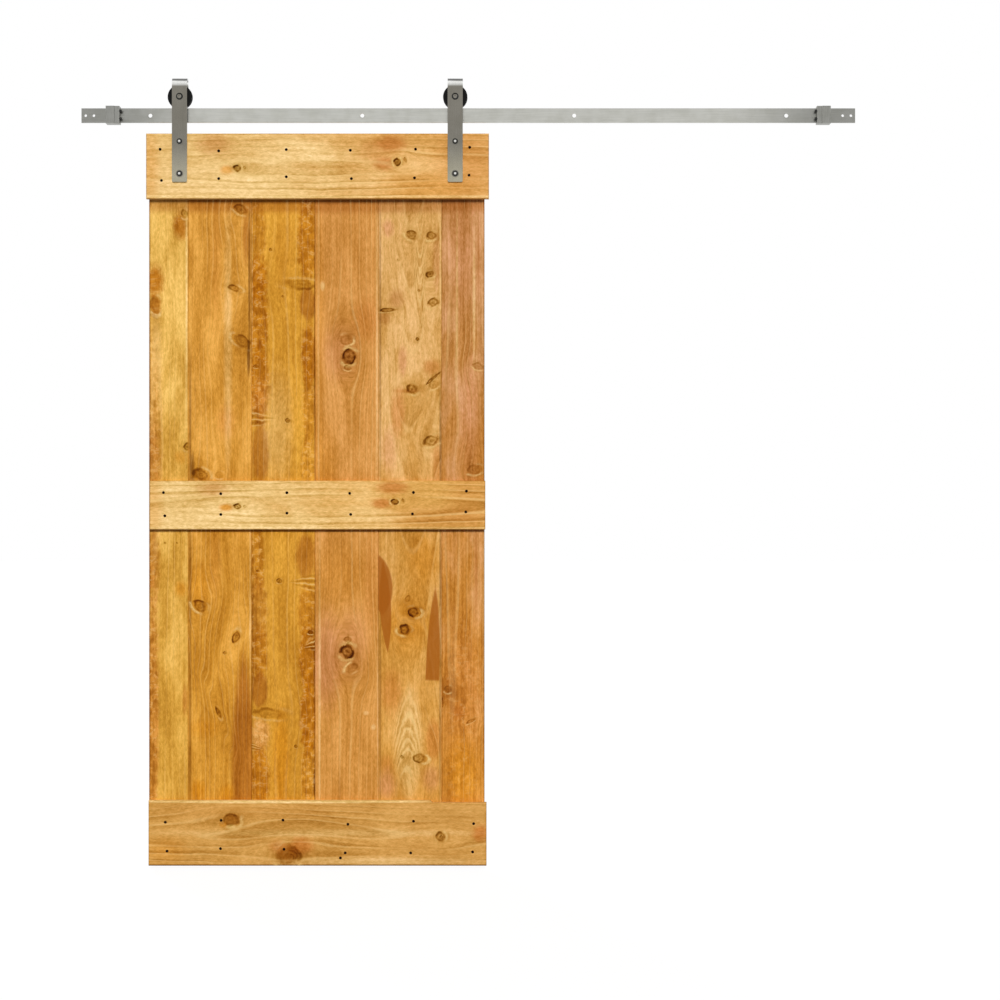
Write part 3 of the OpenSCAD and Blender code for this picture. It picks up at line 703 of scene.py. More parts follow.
class Board(NamedTuple):
    """How one board looks: its stain at both ends, its figure, its marks, and smooth leaves over all that."""
    start: tuple
    end: tuple
    pith: float
    pith_depth: float
    pith_slope: float
    pith_turn: float
    ring_gap: float
    rings: float
    lines: float
    streaks: float
    mottle: float
    tone: float
    knots: tuple = ()
    spikes: tuple = ()
    arches: tuple = ()
    stains: tuple = ()
    leaves: tuple = ()


BOARDS = {
    "plank_1": Board(
        srgb(231, 181, 88), srgb(215, 159, 62), pith=0.02, pith_depth=0.05, pith_slope=0.01, pith_turn=0.9,
        ring_gap=0.012, rings=0.08, lines=0.2, streaks=0.2, mottle=0.2, tone=0.3,
        knots=(
            Knot(184.6, 213.5, 3.2, 4.8, turn=14, dark=0.6),
            Knot(187.4, 446.8, 3.6, 4.0, dark=0.85, pale=0.4),
            Knot(155.5, 305, 4.6, 8.5, turn=10, dark=0.3, swirl=0.9, pale=0.7),
            Knot(165, 543, 0.9, 0.9, dark=0.8, swirl=0.1, pale=0.1),
            Knot(177, 543, 0.9, 0.9, dark=0.8, swirl=0.1, pale=0.1),
        ),
        stains=(
            Stain(180.5, 226, 7, 13, tint="amber", amount=0.85, soft=0.5, ragged=1.1, curly=0.4),
            Stain(155, 281, 8, 15, tint="amber", amount=0.9, soft=0.5, ragged=1.1, curly=0.6),
            Stain(155, 306, 6, 10, tint="amber", amount=0.8, soft=0.4, ragged=1.1, curly=0.5),
            Stain(153, 405, 8, 80, amount=0.42, soft=0.7, ragged=1.6, curly=0.8),
            Stain(152, 460, 8, 40, amount=0.45, soft=0.6, ragged=1.4, curly=0.6),
            Stain(181, 457, 6, 6, tint="orange", amount=0.4),
            Stain(181, 589, 6, 7, tint="orange", amount=0.6, soft=0.6),
            Stain(153, 560, 6, 40, amount=0.5, soft=0.6, ragged=1.6, curly=0.8),
            Stain(152.5, 720, 6, 130, amount=0.62, soft=0.4, ragged=1.5, curly=0.9),
            Stain(185, 700, 2.5, 14, amount=0.5, soft=0.6),
            Stain(186.6, 300, 0.9, 110, tint="pale", amount=0.5, soft=0.5, ragged=0.4),
            Stain(149.7, 500, 0.9, 420, tint="bark", amount=0.5, soft=0.6, ragged=0.3),
        )),
    "plank_2": Board(
        srgb(217, 153, 62), srgb(210, 145, 48), pith=0.09, pith_depth=0.03, pith_slope=-0.012, pith_turn=0.2,
        ring_gap=0.013, rings=0.08, lines=0.2, streaks=0.24, mottle=0.18, tone=0.34,
        knots=(
            Knot(241, 209.5, 6.5, 4.6, turn=-24, dark=0.7),
            Knot(235, 288.5, -6.0, 3.2, turn=-18, dark=0.75, lean=86),
            Knot(242, 341.5, 9, 5, turn=-32, dark=0.6, lean=143),
            Knot(200.6, 474.5, -7.6, 5.8, turn=-10, dark=0.75, lean=83),
            Knot(219, 475, 4, 3.4, dark=0.2, pale=0.5),
            Knot(199.8, 606, 6.6, 5.4, turn=-34, dark=0.8, pale=0.8, lean=188),
            Knot(236.2, 636.5, -3.6, 6.8, turn=-20, dark=0.9, lean=23),
            Knot(224.8, 653, 1.5, 1.5, dark=0.9, swirl=0.3, pale=0.3),
            Knot(218.6, 712.5, 2.0, 6.2, turn=24, dark=0.85, pale=0.4),
        ),
        stains=(
            Stain(243.5, 762, 11.5, 106, tint="brown", amount=0.74, soft=0.3, ragged=0.25, pointed=0.5),
            Stain(198, 790, 7, 9, tint="orange", amount=0.7, soft=0.6),
            Stain(227, 793, 6.5, 8, tint="orange", amount=0.6, soft=0.6),
            Stain(205, 728, 13, 8, tint="orange", amount=0.4, soft=0.7, ragged=1.2),
            Stain(199, 588, 9, 22, tint="orange", amount=0.45, soft=0.7),
            Stain(226, 421, 8, 15, amount=0.42, soft=0.7, ragged=1.2),
            Stain(215, 560, 5, 36, amount=0.25, soft=0.7, ragged=1.0),
            Stain(216, 255, 5, 60, amount=0.25, soft=0.7, ragged=1.0),
            Stain(246, 236, 3.4, 26, tint="brown", amount=0.6, soft=0.6, ragged=0.6),
            Stain(248.6, 357, 1.6, 16, tint="bark", amount=0.75, soft=0.6, ragged=0.3),
            Stain(249.4, 275, 1.1, 70, tint="bark", amount=0.6, soft=0.6, ragged=0.3),
            Stain(190.2, 424, 1.1, 66, tint="bark", amount=0.55, soft=0.6, ragged=0.3),
            Stain(192.4, 467, 2, 13, tint="bark", amount=0.6, soft=0.6, ragged=0.3),
            Stain(190.2, 580, 1.3, 60, tint="bark", amount=0.5, soft=0.7, ragged=0.3),
            Stain(190, 730, 1.2, 90, tint="bark", amount=0.5, soft=0.7, ragged=0.3),
            Stain(228, 340, 3.5, 110, tint="pale", amount=0.3, soft=0.7, ragged=0.8),
            Stain(250.2, 600, 0.9, 80, tint="pale", amount=0.28, soft=0.5, ragged=0.4),
        )),
    "plank_3": Board(
        srgb(217, 154, 52), srgb(211, 148, 48), pith=0.085, pith_depth=0.04, pith_slope=0.006, pith_turn=1.0,
        ring_gap=0.014, rings=0.06, lines=0.16, streaks=0.2, mottle=0.2, tone=0.24,
        knots=(
            Knot(270.6, 249.8, 1.5, 1.6, dark=0.85, swirl=0.3, pale=0.3),
            Knot(282.8, 296.4, 1.1, 1.1, dark=0.6, swirl=0.2, pale=0.2),
            Knot(300, 284.5, 15, 5.2, turn=-4, dark=0.5, swirl=0.3, pale=0.35, lean=10),
            Knot(287.8, 420.4, 2.2, 2.3, dark=0.9, swirl=0.4, pale=0.4),
            Knot(256, 366.5, 2.2, 1.6, dark=0.7, swirl=0.2, pale=0.5),
            Knot(279.4, 580.8, 2.3, 2.3, dark=0.9, swirl=0.4, pale=0.4),
            Knot(310.5, 632.5, 2.6, 1.8, dark=0.7, swirl=0.3, pale=0.8),
            Knot(269.5, 713.5, 15, 5.4, turn=-4, dark=0.5, swirl=0.3, pale=0.35, lean=190),
            Knot(296, 746.4, 1.5, 1.6, dark=0.85, swirl=0.3, pale=0.3),
            Knot(258, 571, 1.4, 1.2, dark=0.8, swirl=0.2, pale=0.6),
        ),
        spikes=(
            Spike(263, 418.5, 17, 9, turn=-3, amount=0.5),
            Spike(302.5, 582.5, -17, 8.5, turn=-3, amount=0.5),
            Spike(309, 646, -8, 6, turn=14, amount=0.6),
            Spike(258, 748, 9, 4, turn=-14, amount=0.5),
        ),
        stains=(
            Stain(257, 232, 9, 30, tint="amber", amount=0.44, soft=0.3, ragged=1.3, curly=0.5),
            Stain(257, 278, 10, 22, tint="amber", amount=0.84, soft=0.3, ragged=1.3, curly=0.9),
            Stain(258, 322, 10, 40, tint="amber", amount=0.75, soft=0.3, ragged=1.3, curly=0.9),
            Stain(259, 385, 10.5, 40, tint="amber", amount=0.75, soft=0.25, ragged=1.2, curly=0.9),
            Stain(260, 400, 6, 20, amount=0.4, soft=0.5),
            Stain(260.5, 452, 8.5, 30, tint="brown", amount=0.63, soft=0.25, ragged=0.6),
            Stain(307, 240, 9, 42, tint="amber", amount=0.75, soft=0.3, ragged=1.3, curly=0.9),
            Stain(308, 304, 8, 16, tint="brown", amount=0.66, soft=0.2, ragged=0.5),
            Stain(309, 355, 7.5, 30, tint="amber", amount=0.84, soft=0.25, ragged=1.1, curly=0.8),
            Stain(309, 410, 6.5, 36, tint="amber", amount=0.53, soft=0.35, ragged=1.6, curly=0.8),
            Stain(308, 462, 7, 22, tint="amber", amount=0.40, soft=0.4, ragged=1.6, curly=1.0),
            Stain(257, 560, 7, 34, tint="amber", amount=0.53, soft=0.35, ragged=1.6, curly=1.0),
            Stain(258, 612, 9, 34, tint="brown", amount=0.44, soft=0.3, ragged=1.2, curly=0.7),
            Stain(259, 655, 9, 26, tint="amber", amount=0.62, soft=0.3, ragged=1.3, curly=0.8),
            Stain(259.5, 690, 8, 17, tint="brown", amount=0.66, soft=0.2, ragged=0.4),
            Stain(260, 735, 9, 16, tint="pink", amount=0.4, soft=0.4, ragged=1.2, curly=1.0),
            Stain(260, 775, 10, 30, tint="amber", amount=0.79, soft=0.25, ragged=1.1, curly=0.7),
            Stain(306, 556, 9.5, 22, tint="brown", amount=0.63, soft=0.25, ragged=0.7),
            Stain(307, 610, 9, 26, tint="amber", amount=0.62, soft=0.3, ragged=1.3, curly=0.8),
            Stain(308, 660, 9, 34, tint="amber", amount=0.79, soft=0.25, ragged=1.2, curly=0.9),
            Stain(309, 715, 8.5, 40, tint="amber", amount=0.84, soft=0.25, ragged=1.2, curly=0.9),
            Stain(309, 772, 8, 34, tint="amber", amount=0.53, soft=0.35, ragged=1.6, curly=1.0),
            Stain(281, 760, 8, 44, tint="orange", amount=0.6, soft=0.5, ragged=0.6),
            Stain(284, 245, 9, 40, tint="amber", amount=0.25, soft=0.7, ragged=1.0),
            Stain(278, 430, 12, 50, tint="pale", amount=0.28, soft=0.7, ragged=0.8),
            Stain(252.6, 640, 1.0, 110, tint="bark", amount=0.3, soft=0.7, ragged=0.3),
            Stain(251.8, 270, 0.9, 80, tint="pale", amount=0.35, soft=0.6, ragged=0.4),
            Stain(314.8, 340, 0.9, 140, tint="bark", amount=0.5, soft=0.7, ragged=0.3),
            Stain(314.6, 700, 0.9, 100, tint="bark", amount=0.4, soft=0.7, ragged=0.3),
            Stain(315, 783, 1.5, 14, tint="bark", amount=0.85, soft=0.5, ragged=0.3),
        )),
    "plank_4": Board(
        srgb(211, 146, 72), srgb(207, 142, 64), pith=0.09, pith_depth=0.06, pith_slope=0.0, pith_turn=0.0,
        ring_gap=0.0115, rings=0.05, lines=0.26, streaks=0.24, mottle=0.16, tone=0.26,
        knots=(
            Knot(349.2, 356.8, 6.0, 7.2, dark=1.0, swirl=0.4, pale=0.7, lean=20),
            Knot(349.2, 356.8, 6.0, 7.2, dark=1.0, swirl=0.4, pale=0.7),
            Knot(345.4, 340, 5.6, 5.2, dark=0.35, swirl=0.7, pale=0.8, lean=260),
            Knot(347.8, 367.8, 3.4, 2.6, dark=0.55, pale=0.7),
            Knot(347, 651.6, 6.4, 7.0, dark=1.0, swirl=0.4, pale=0.7, lean=20),
            Knot(347, 651.6, 6.4, 7.0, dark=1.0, swirl=0.4, pale=0.7),
            Knot(347.8, 639.8, 3.8, 3.0, dark=0.55, pale=0.7),
            Knot(351.8, 668, 6, 4.4, turn=32, dark=0.35, pale=0.9, lean=60),
        ),
        stains=(
            Stain(367, 320, 13, 20, amount=0.4, soft=0.6, ragged=0.8),
            Stain(340, 352, 16, 24, tint="pink", amount=0.5, soft=0.7),
            Stain(326, 660, 14, 42, tint="pink", amount=0.7, soft=0.6),
            Stain(352, 645, 14, 30, tint="pink", amount=0.45, soft=0.7),
            Stain(318, 330, 6, 110, tint="orange", amount=0.3, soft=0.8),
            Stain(322, 470, 12, 40, tint="orange", amount=0.35, soft=0.8),
            Stain(340, 575, 24, 26, tint="orange", amount=0.22, soft=0.8),
            Stain(372, 590, 7, 50, amount=0.25, soft=0.7),
            Stain(366, 713, 2.4, 1.8, tint="pale", amount=0.3, soft=0.6),
            Stain(373.4, 727, 2.2, 2.4, tint="pale", amount=0.35, soft=0.6),
            Stain(322.5, 286, 2.2, 4, tint="pale", amount=0.45, soft=0.6),
            Stain(318.4, 330, 1.0, 170, tint="pale", amount=0.16, soft=0.6, ragged=0.4),
            Stain(319.6, 690, 1.0, 130, tint="pale", amount=0.36, soft=0.6, ragged=0.4),
            Stain(377.2, 330, 1.0, 170, tint="pale", amount=0.34, soft=0.6, ragged=0.4),
            Stain(378.2, 720, 1.0, 100, tint="pale", amount=0.35, soft=0.6, ragged=0.4),
        )),
    "plank_5": Board(
        srgb(220, 168, 98), srgb(212, 151, 66), pith=0.103, pith_depth=0.15, pith_slope=-0.075,
        pith_turn=1.42,
        ring_gap=0.0145, rings=0.16, lines=0.17, streaks=0.2, mottle=0.2, tone=0.26,
        knots=(
            Knot(411.6, 235.6, 5.6, 4.4, turn=-20, dark=0.75, pale=0.8, lean=173),
            Knot(431.4, 235.8, 5.0, 4.0, turn=20, dark=0.75, pale=0.8, lean=188),
            Knot(430.2, 274.4, 3.8, 3.4, turn=10, dark=0.9, lean=240),
            Knot(433.6, 302.4, 5.8, 4.0, turn=26, dark=0.8, lean=173),
            Knot(388, 310, 8.2, 2.1, turn=4, dark=1.0, swirl=0.4, pale=0.5),
            Knot(419, 290.4, 1.3, 1.3, dark=0.8, swirl=0.2, pale=0.3),
            Knot(417.4, 339.2, 1.8, 1.9, dark=1.0, swirl=0.3, pale=0.2),
            Knot(398.4, 260, 1.3, 1.3, dark=0.55, swirl=0.2, pale=0.2),
            Knot(432.6, 378.8, 8.2, 1.4, turn=42, dark=1.0, swirl=0.3, pale=0.3),
            Knot(434, 384.5, 5, 3.8, turn=30, dark=0.3, swirl=0.4),
            Knot(412, 389, 5.2, 5.0, turn=-20, dark=0.8, lean=240),
            Knot(431.8, 440.6, 8.2, 4.8, turn=22, dark=0.75, lean=200),
            Knot(414.2, 612, 5.4, 5.0, turn=-8, dark=1.0, pale=0.8, lean=278),
            Knot(404.4, 629.8, 5.2, 5.2, turn=10, dark=1.0, pale=0.8, lean=153),
            Knot(407.6, 599, 2.2, 3.8, turn=-30, dark=0.5, swirl=0.2, pale=0.1),
            Knot(402, 757, 1.6, 1.7, dark=0.95, swirl=0.3, pale=0.2),
            Knot(419.6, 758, 6.2, 4.6, turn=-14, dark=0.75, pale=1.0, lean=293),
        ),
        arches=(
            Arches(408, 737, 17, 48, turn=-2, amount=0.5),
            Arches(420, 274, 8, -62, amount=0.4),
        ),
        stains=(
            Stain(396.5, 299, 7, 9, tint="brown", amount=0.45, soft=0.6),
            Stain(384.5, 318, 5.5, 6, tint="brown", amount=0.45, soft=0.6),
            Stain(388, 228, 5.5, 8, tint="pink", amount=0.6, soft=0.5),
            Stain(437, 262, 4, 26, tint="pink", amount=0.45, soft=0.6),
            Stain(402.5, 361, 4, 14, tint="pink", amount=0.6, soft=0.5),
            Stain(398, 412, 6.5, 22, amount=0.55, soft=0.5, ragged=0.9),
            Stain(389, 450, 7, 20, tint="pink", amount=0.45, soft=0.6),
            Stain(432, 367, 8, 7, amount=0.5, soft=0.6),
            Stain(407, 391, 12, 2.0, amount=0.45, soft=0.6),
            Stain(437, 465, 4, 22, amount=0.5, soft=0.6),
            Stain(424, 560, 14, 26, tint="orange", amount=0.45, soft=0.7),
            Stain(408, 622, 20, 26, tint="orange", amount=0.5, soft=0.7),
            Stain(391, 692, 10, 20, amount=0.5, soft=0.6, ragged=1.0),
            Stain(409, 745, 12, 56, tint="pale", amount=0.34, soft=0.5, pointed=0.6),
            Stain(433.6, 740, 7.2, 20, amount=0.55, soft=0.35),
            Stain(386.5, 764, 6, 8, amount=0.45, soft=0.6),
            Stain(387, 784, 8, 14, tint="pink", amount=0.6, soft=0.6),
            Stain(431, 778, 8, 12, tint="pink", amount=0.5, soft=0.6),
            Stain(380.2, 330, 1.0, 150, tint="bark", amount=0.45, soft=0.7, ragged=0.3),
            Stain(380.2, 700, 1.0, 110, tint="bark", amount=0.4, soft=0.7, ragged=0.3),
            Stain(440.4, 262, 0.9, 44, tint="pale", amount=0.34, soft=0.5, ragged=0.3),
            Stain(440.4, 440, 1.0, 50, tint="bark", amount=0.55, soft=0.7, ragged=0.3),
            Stain(440.4, 600, 1.0, 90, tint="bark", amount=0.5, soft=0.7, ragged=0.3),
            Stain(440, 735, 1.0, 60, tint="bark", amount=0.4, soft=0.7, ragged=0.3),
        ),
        leaves=(
            Stain(381, 585, 11.4, 30, tint="brown", amount=0.86, soft=0.1, ragged=0.06, turn=4, pointed=0.5),
            Stain(385.4, 607, 5.6, 46, tint="brown", amount=0.86, soft=0.12, ragged=0.06, turn=3,
                  pointed=0.9),
            Stain(432.3, 679, 6.9, 91, tint="brown", amount=0.86, soft=0.1, ragged=0.06, turn=-2, pointed=0.3,
                  flat_foot=1.0),
        )),
    "plank_6": Board(
        srgb(200, 142, 86), srgb(206, 137, 54), pith=0.03, pith_depth=0.05, pith_slope=0.008, pith_turn=1.0,
        ring_gap=0.0125, rings=0.08, lines=0.24, streaks=0.3, mottle=0.2, tone=0.34,
        knots=(
            Knot(478, 366, 5.4, 3.4, turn=-16, dark=0.4),
            Knot(474.5, 469.5, 6.5, 4.6, turn=10, dark=0.4),
            Knot(448, 689, 3.4, 3.6, dark=0.45, swirl=0.4),
            Knot(471, 721, 4.4, 1.6, turn=30, dark=0.55, swirl=0.3),
            Knot(442.4, 703, 1.0, 5, dark=0.7, swirl=0.1, pale=0.2),
        ),
        stains=(
            Stain(462, 250, 12, 60, tint="pink", amount=0.5, soft=0.7),
            Stain(470, 420, 9, 60, tint="pink", amount=0.55, soft=0.7),
            Stain(478.5, 260, 1.2, 34, tint="brown", amount=0.5, soft=0.7, ragged=0.4),
            Stain(474, 300, 1.2, 60, tint="pale", amount=0.4, soft=0.7, ragged=0.4),
            Stain(457, 300, 1.0, 90, tint="pale", amount=0.35, soft=0.7, ragged=0.4),
            Stain(476, 570, 1.3, 36, tint="brown", amount=0.45, soft=0.7, ragged=0.4),
            Stain(458, 712, 6, 7, amount=0.6, soft=0.7, ragged=1.0),
            Stain(462, 690, 18, 60, amount=0.42, soft=0.7, ragged=1.8, curly=0.5),
            Stain(463, 775, 16, 34, tint="orange", amount=0.6, soft=0.6, ragged=1.4, curly=0.4),
            Stain(447, 690, 6, 14, tint="brown", amount=0.4, soft=0.6),
            Stain(484.4, 500, 0.9, 420, tint="bark", amount=0.4, soft=0.6, ragged=0.3),
        )),
    "top_rail": Board(
        srgb(231, 189, 118), srgb(221, 165, 90), pith=0.1, pith_depth=0.035, pith_slope=0.03, pith_turn=0.5,
        ring_gap=0.0175, rings=0.26, lines=0.5, streaks=0.14, mottle=0.18, tone=0.2,
        knots=(
            Knot(237.2, 168.4, 4.2, 3.4, turn=-8, dark=1.0, swirl=0.8, pale=0.8),
            Knot(237.2, 168.4, 3.2, 2.5, turn=-8, dark=1.0, swirl=0.0, pale=0.0),
            Knot(244.6, 167.6, 1.8, 1.5, dark=0.5, swirl=0.3, pale=0.2),
            Knot(397, 161.8, 3.8, 3.6, dark=1.0, swirl=0.45, pale=1.0, lean=20),
            Knot(397, 161.8, 3.8, 3.6, dark=1.0, swirl=0.4, pale=1.0),
            Knot(397, 161.8, 2.8, 2.6, dark=1.0, swirl=0.0, pale=0.0),
            Knot(405.4, 160, 1.4, 2.5, turn=14, dark=0.7, swirl=0.3, pale=0.2),
        ),
        stains=(
            Stain(150, 166, 8, 34, tint="orange", amount=0.4, soft=0.8),
            Stain(213, 144, 15, 10, amount=0.42, soft=0.7, ragged=1.1),
            Stain(227, 170, 6.5, 4.4, tint="orange", amount=0.85, soft=0.5),
            Stain(384.5, 163.5, 10, 6.5, amount=0.75, soft=0.6),
            Stain(391, 143.5, 14, 8, amount=0.72, soft=0.6, ragged=1.0),
            Stain(372, 150, 12, 10, amount=0.3, soft=0.7, ragged=1.0),
            Stain(468, 160, 26, 34, amount=0.34, soft=0.8, ragged=0.9),
            Stain(420, 188, 50, 10, tint="orange", amount=0.3, soft=0.8),
            Stain(290, 182, 80, 14, tint="pale", amount=0.3, soft=0.8),
            Stain(300, 150, 50, 12, tint="pale", amount=0.3, soft=0.8),
            Stain(317, 196.6, 400, 1.1, tint="pale", amount=0.5, soft=0.5, ragged=0.2),
        )),
    "middle_rail": Board(
        srgb(233, 192, 120), srgb(221, 166, 86), pith=0.075, pith_depth=0.035, pith_slope=0.024,
        pith_turn=0.5,
        ring_gap=0.0145, rings=0.26, lines=0.5, streaks=0.14, mottle=0.18, tone=0.2,
        knots=(
            Knot(237.4, 506.4, 4.2, 2.7, turn=-8, dark=1.0, swirl=0.8, pale=0.8),
            Knot(237.4, 506.4, 3.2, 2.0, turn=-8, dark=1.0, swirl=0.0, pale=0.0),
            Knot(245, 506.4, 1.8, 1.3, dark=0.5, swirl=0.3, pale=0.2),
            Knot(394.4, 501.6, 3.8, 2.7, dark=1.0, swirl=0.45, pale=1.0, lean=20),
            Knot(394.4, 501.6, 3.8, 2.7, dark=1.0, swirl=0.4, pale=1.0),
            Knot(394.4, 501.6, 2.8, 2.0, dark=1.0, swirl=0.0, pale=0.0),
            Knot(403.2, 500.4, 1.4, 2.0, turn=14, dark=0.7, swirl=0.3, pale=0.2),
        ),
        stains=(
            Stain(153, 506, 8, 26, tint="orange", amount=0.35, soft=0.8),
            Stain(213, 489, 14, 7, amount=0.42, soft=0.7, ragged=1.1),
            Stain(226, 507.6, 6.5, 3.4, tint="orange", amount=0.85, soft=0.5),
            Stain(382, 503.4, 9.5, 4.6, amount=0.75, soft=0.6),
            Stain(392.5, 487.5, 14, 6, amount=0.72, soft=0.6, ragged=1.0),
            Stain(440, 518, 44, 10, amount=0.36, soft=0.8, ragged=0.9),
            Stain(470, 500, 20, 24, amount=0.28, soft=0.8),
            Stain(290, 520, 80, 10, tint="pale", amount=0.3, soft=0.8),
            Stain(317, 528, 400, 1.0, tint="pale", amount=0.4, soft=0.5, ragged=0.2),
        )),
    "bottom_rail": Board(
        srgb(207, 153, 76), srgb(205, 150, 74), pith=0.1, pith_depth=0.03, pith_slope=0.04, pith_turn=0.45,
        ring_gap=0.0165, rings=0.2, lines=0.32, streaks=0.14, mottle=0.18, tone=0.2,
        knots=(
            Knot(232, 820.4, 7.8, 6.0, dark=0.7, swirl=0.85, pale=0.6, lean=233),
            Knot(288, 856, 11.5, 10, dark=0.55, swirl=0.9, pale=0.8, lean=300),
            Knot(288.4, 857, 8.2, 7, dark=0.5, swirl=0.0, pale=0.3, lean=300),
            Knot(289, 858, 5, 4.2, dark=0.5, swirl=0.0, pale=0.3, lean=300),
            Knot(440.8, 836.4, 4.8, 4.4, dark=0.8, swirl=0.85, pale=0.6),
            Knot(441.6, 837, 1.8, 1.6, dark=0.9, swirl=0.3, pale=0.2),
        ),
        stains=(
            Stain(288, 855, 11, 10, tint="amber", amount=0.7, soft=0.5, ragged=0.5),
            Stain(232, 820, 7.5, 6, tint="amber", amount=0.5, soft=0.5, ragged=0.5),
            Stain(301, 846, 11, 8, amount=0.75, soft=0.6, ragged=0.9),
            Stain(278, 846.5, 8, 6, amount=0.6, soft=0.6),
            Stain(223.5, 824.5, 4, 3, tint="orange", amount=0.6),
            Stain(231, 826.5, 4.5, 2.2, tint="pale", amount=0.7, soft=0.5),
            Stain(480, 833, 7, 8, amount=0.8, soft=0.6, ragged=1.0),
            # Painted highlight along the bottom rail's top edge
            Stain(285, 801.2, 150, 2.0, tint="pale", amount=0.85, soft=0.3, ragged=0.15),
            Stain(320, 833, 120, 3, tint="pale", amount=0.3, soft=0.8),
            Stain(165, 850, 20, 10, tint="orange", amount=0.35, soft=0.8),
            Stain(380, 862, 80, 4, tint="pale", amount=0.35, soft=0.8),
            Stain(250, 812, 90, 6, tint="amber", amount=0.2, soft=0.9),
            Stain(317, 865.3, 400, 1.0, tint="bark", amount=0.6, soft=0.5, ragged=0.2),
        )),
}

# Painted shadow on the planks along the lower edges of the top and middle rails: a soft brown band of shade
# and dark shadow lines
PAINTED_RAIL_SHADOW = (
    Stain(317, 206, 270, 6.5, tint="brown", amount=0.58, soft=0.6, ragged=0.15),
    Stain(317, 200.6, 270, 3.0, tint="bark", amount=0.72, soft=0.7, ragged=0.15),
    Stain(317, 530.2, 270, 1.4, tint="bark", amount=0.75, soft=0.5, ragged=0.15),
)

# How deep the painted rail shadow goes into a plank's front, in metres
FRONT_SKIN = 0.006

# How far apart the boards are cut from the same noise, and how far their rings wander, in metres
SEED_GAP = 1.7
GRAIN_WAVE = 0.02

# How the stain of a board's start turns into that of its end along its length
END_SWAY = 0.35
END_BLEND = (0.15, 0.85)

# How far the light and dark of each board's figure go
RINGS_MIDDLE = 0.2
FLECKS = 0.28
LINE_LIGHT = 0.8
HALO_LIGHT = 0.95
HEART_DARK = 0.7
BARK_DARK = 0.84
WISP_LIGHT = 0.3
BLOTCHES = 0.42
# The dark band along each board's edges is painted shade in the seams, along with wear
EDGE_BAND = 0.0035
EDGE_DARK = 0.2
END_GRAIN_DARK = 0.3
END_GRAIN_FACING = (0.6, 0.9)

# The wood's sheen
WOOD_ROUGHNESS = 0.5
STREAK_ROUGHNESS = 0.14
WOOD_GLOSS = 0.09
GRAIN_STRENGTH = 0.7


def photo_point(px, py, depth):
    """The point of the object at a pixel of the photograph, on a plane at that depth."""
    stage = bpy.context.scene.barn_door_stage
    rails_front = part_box("top_rail")[0].y
    away = 1 + (depth - rails_front) / stage.camera_distance
    pixel = stage.field_width / PHOTO_WIDTH * away
    return Vector((stage.camera_x + (px - PHOTO_MIDDLE) * pixel, depth,
                   stage.camera_z - (py - PHOTO_MIDDLE) * pixel)), pixel


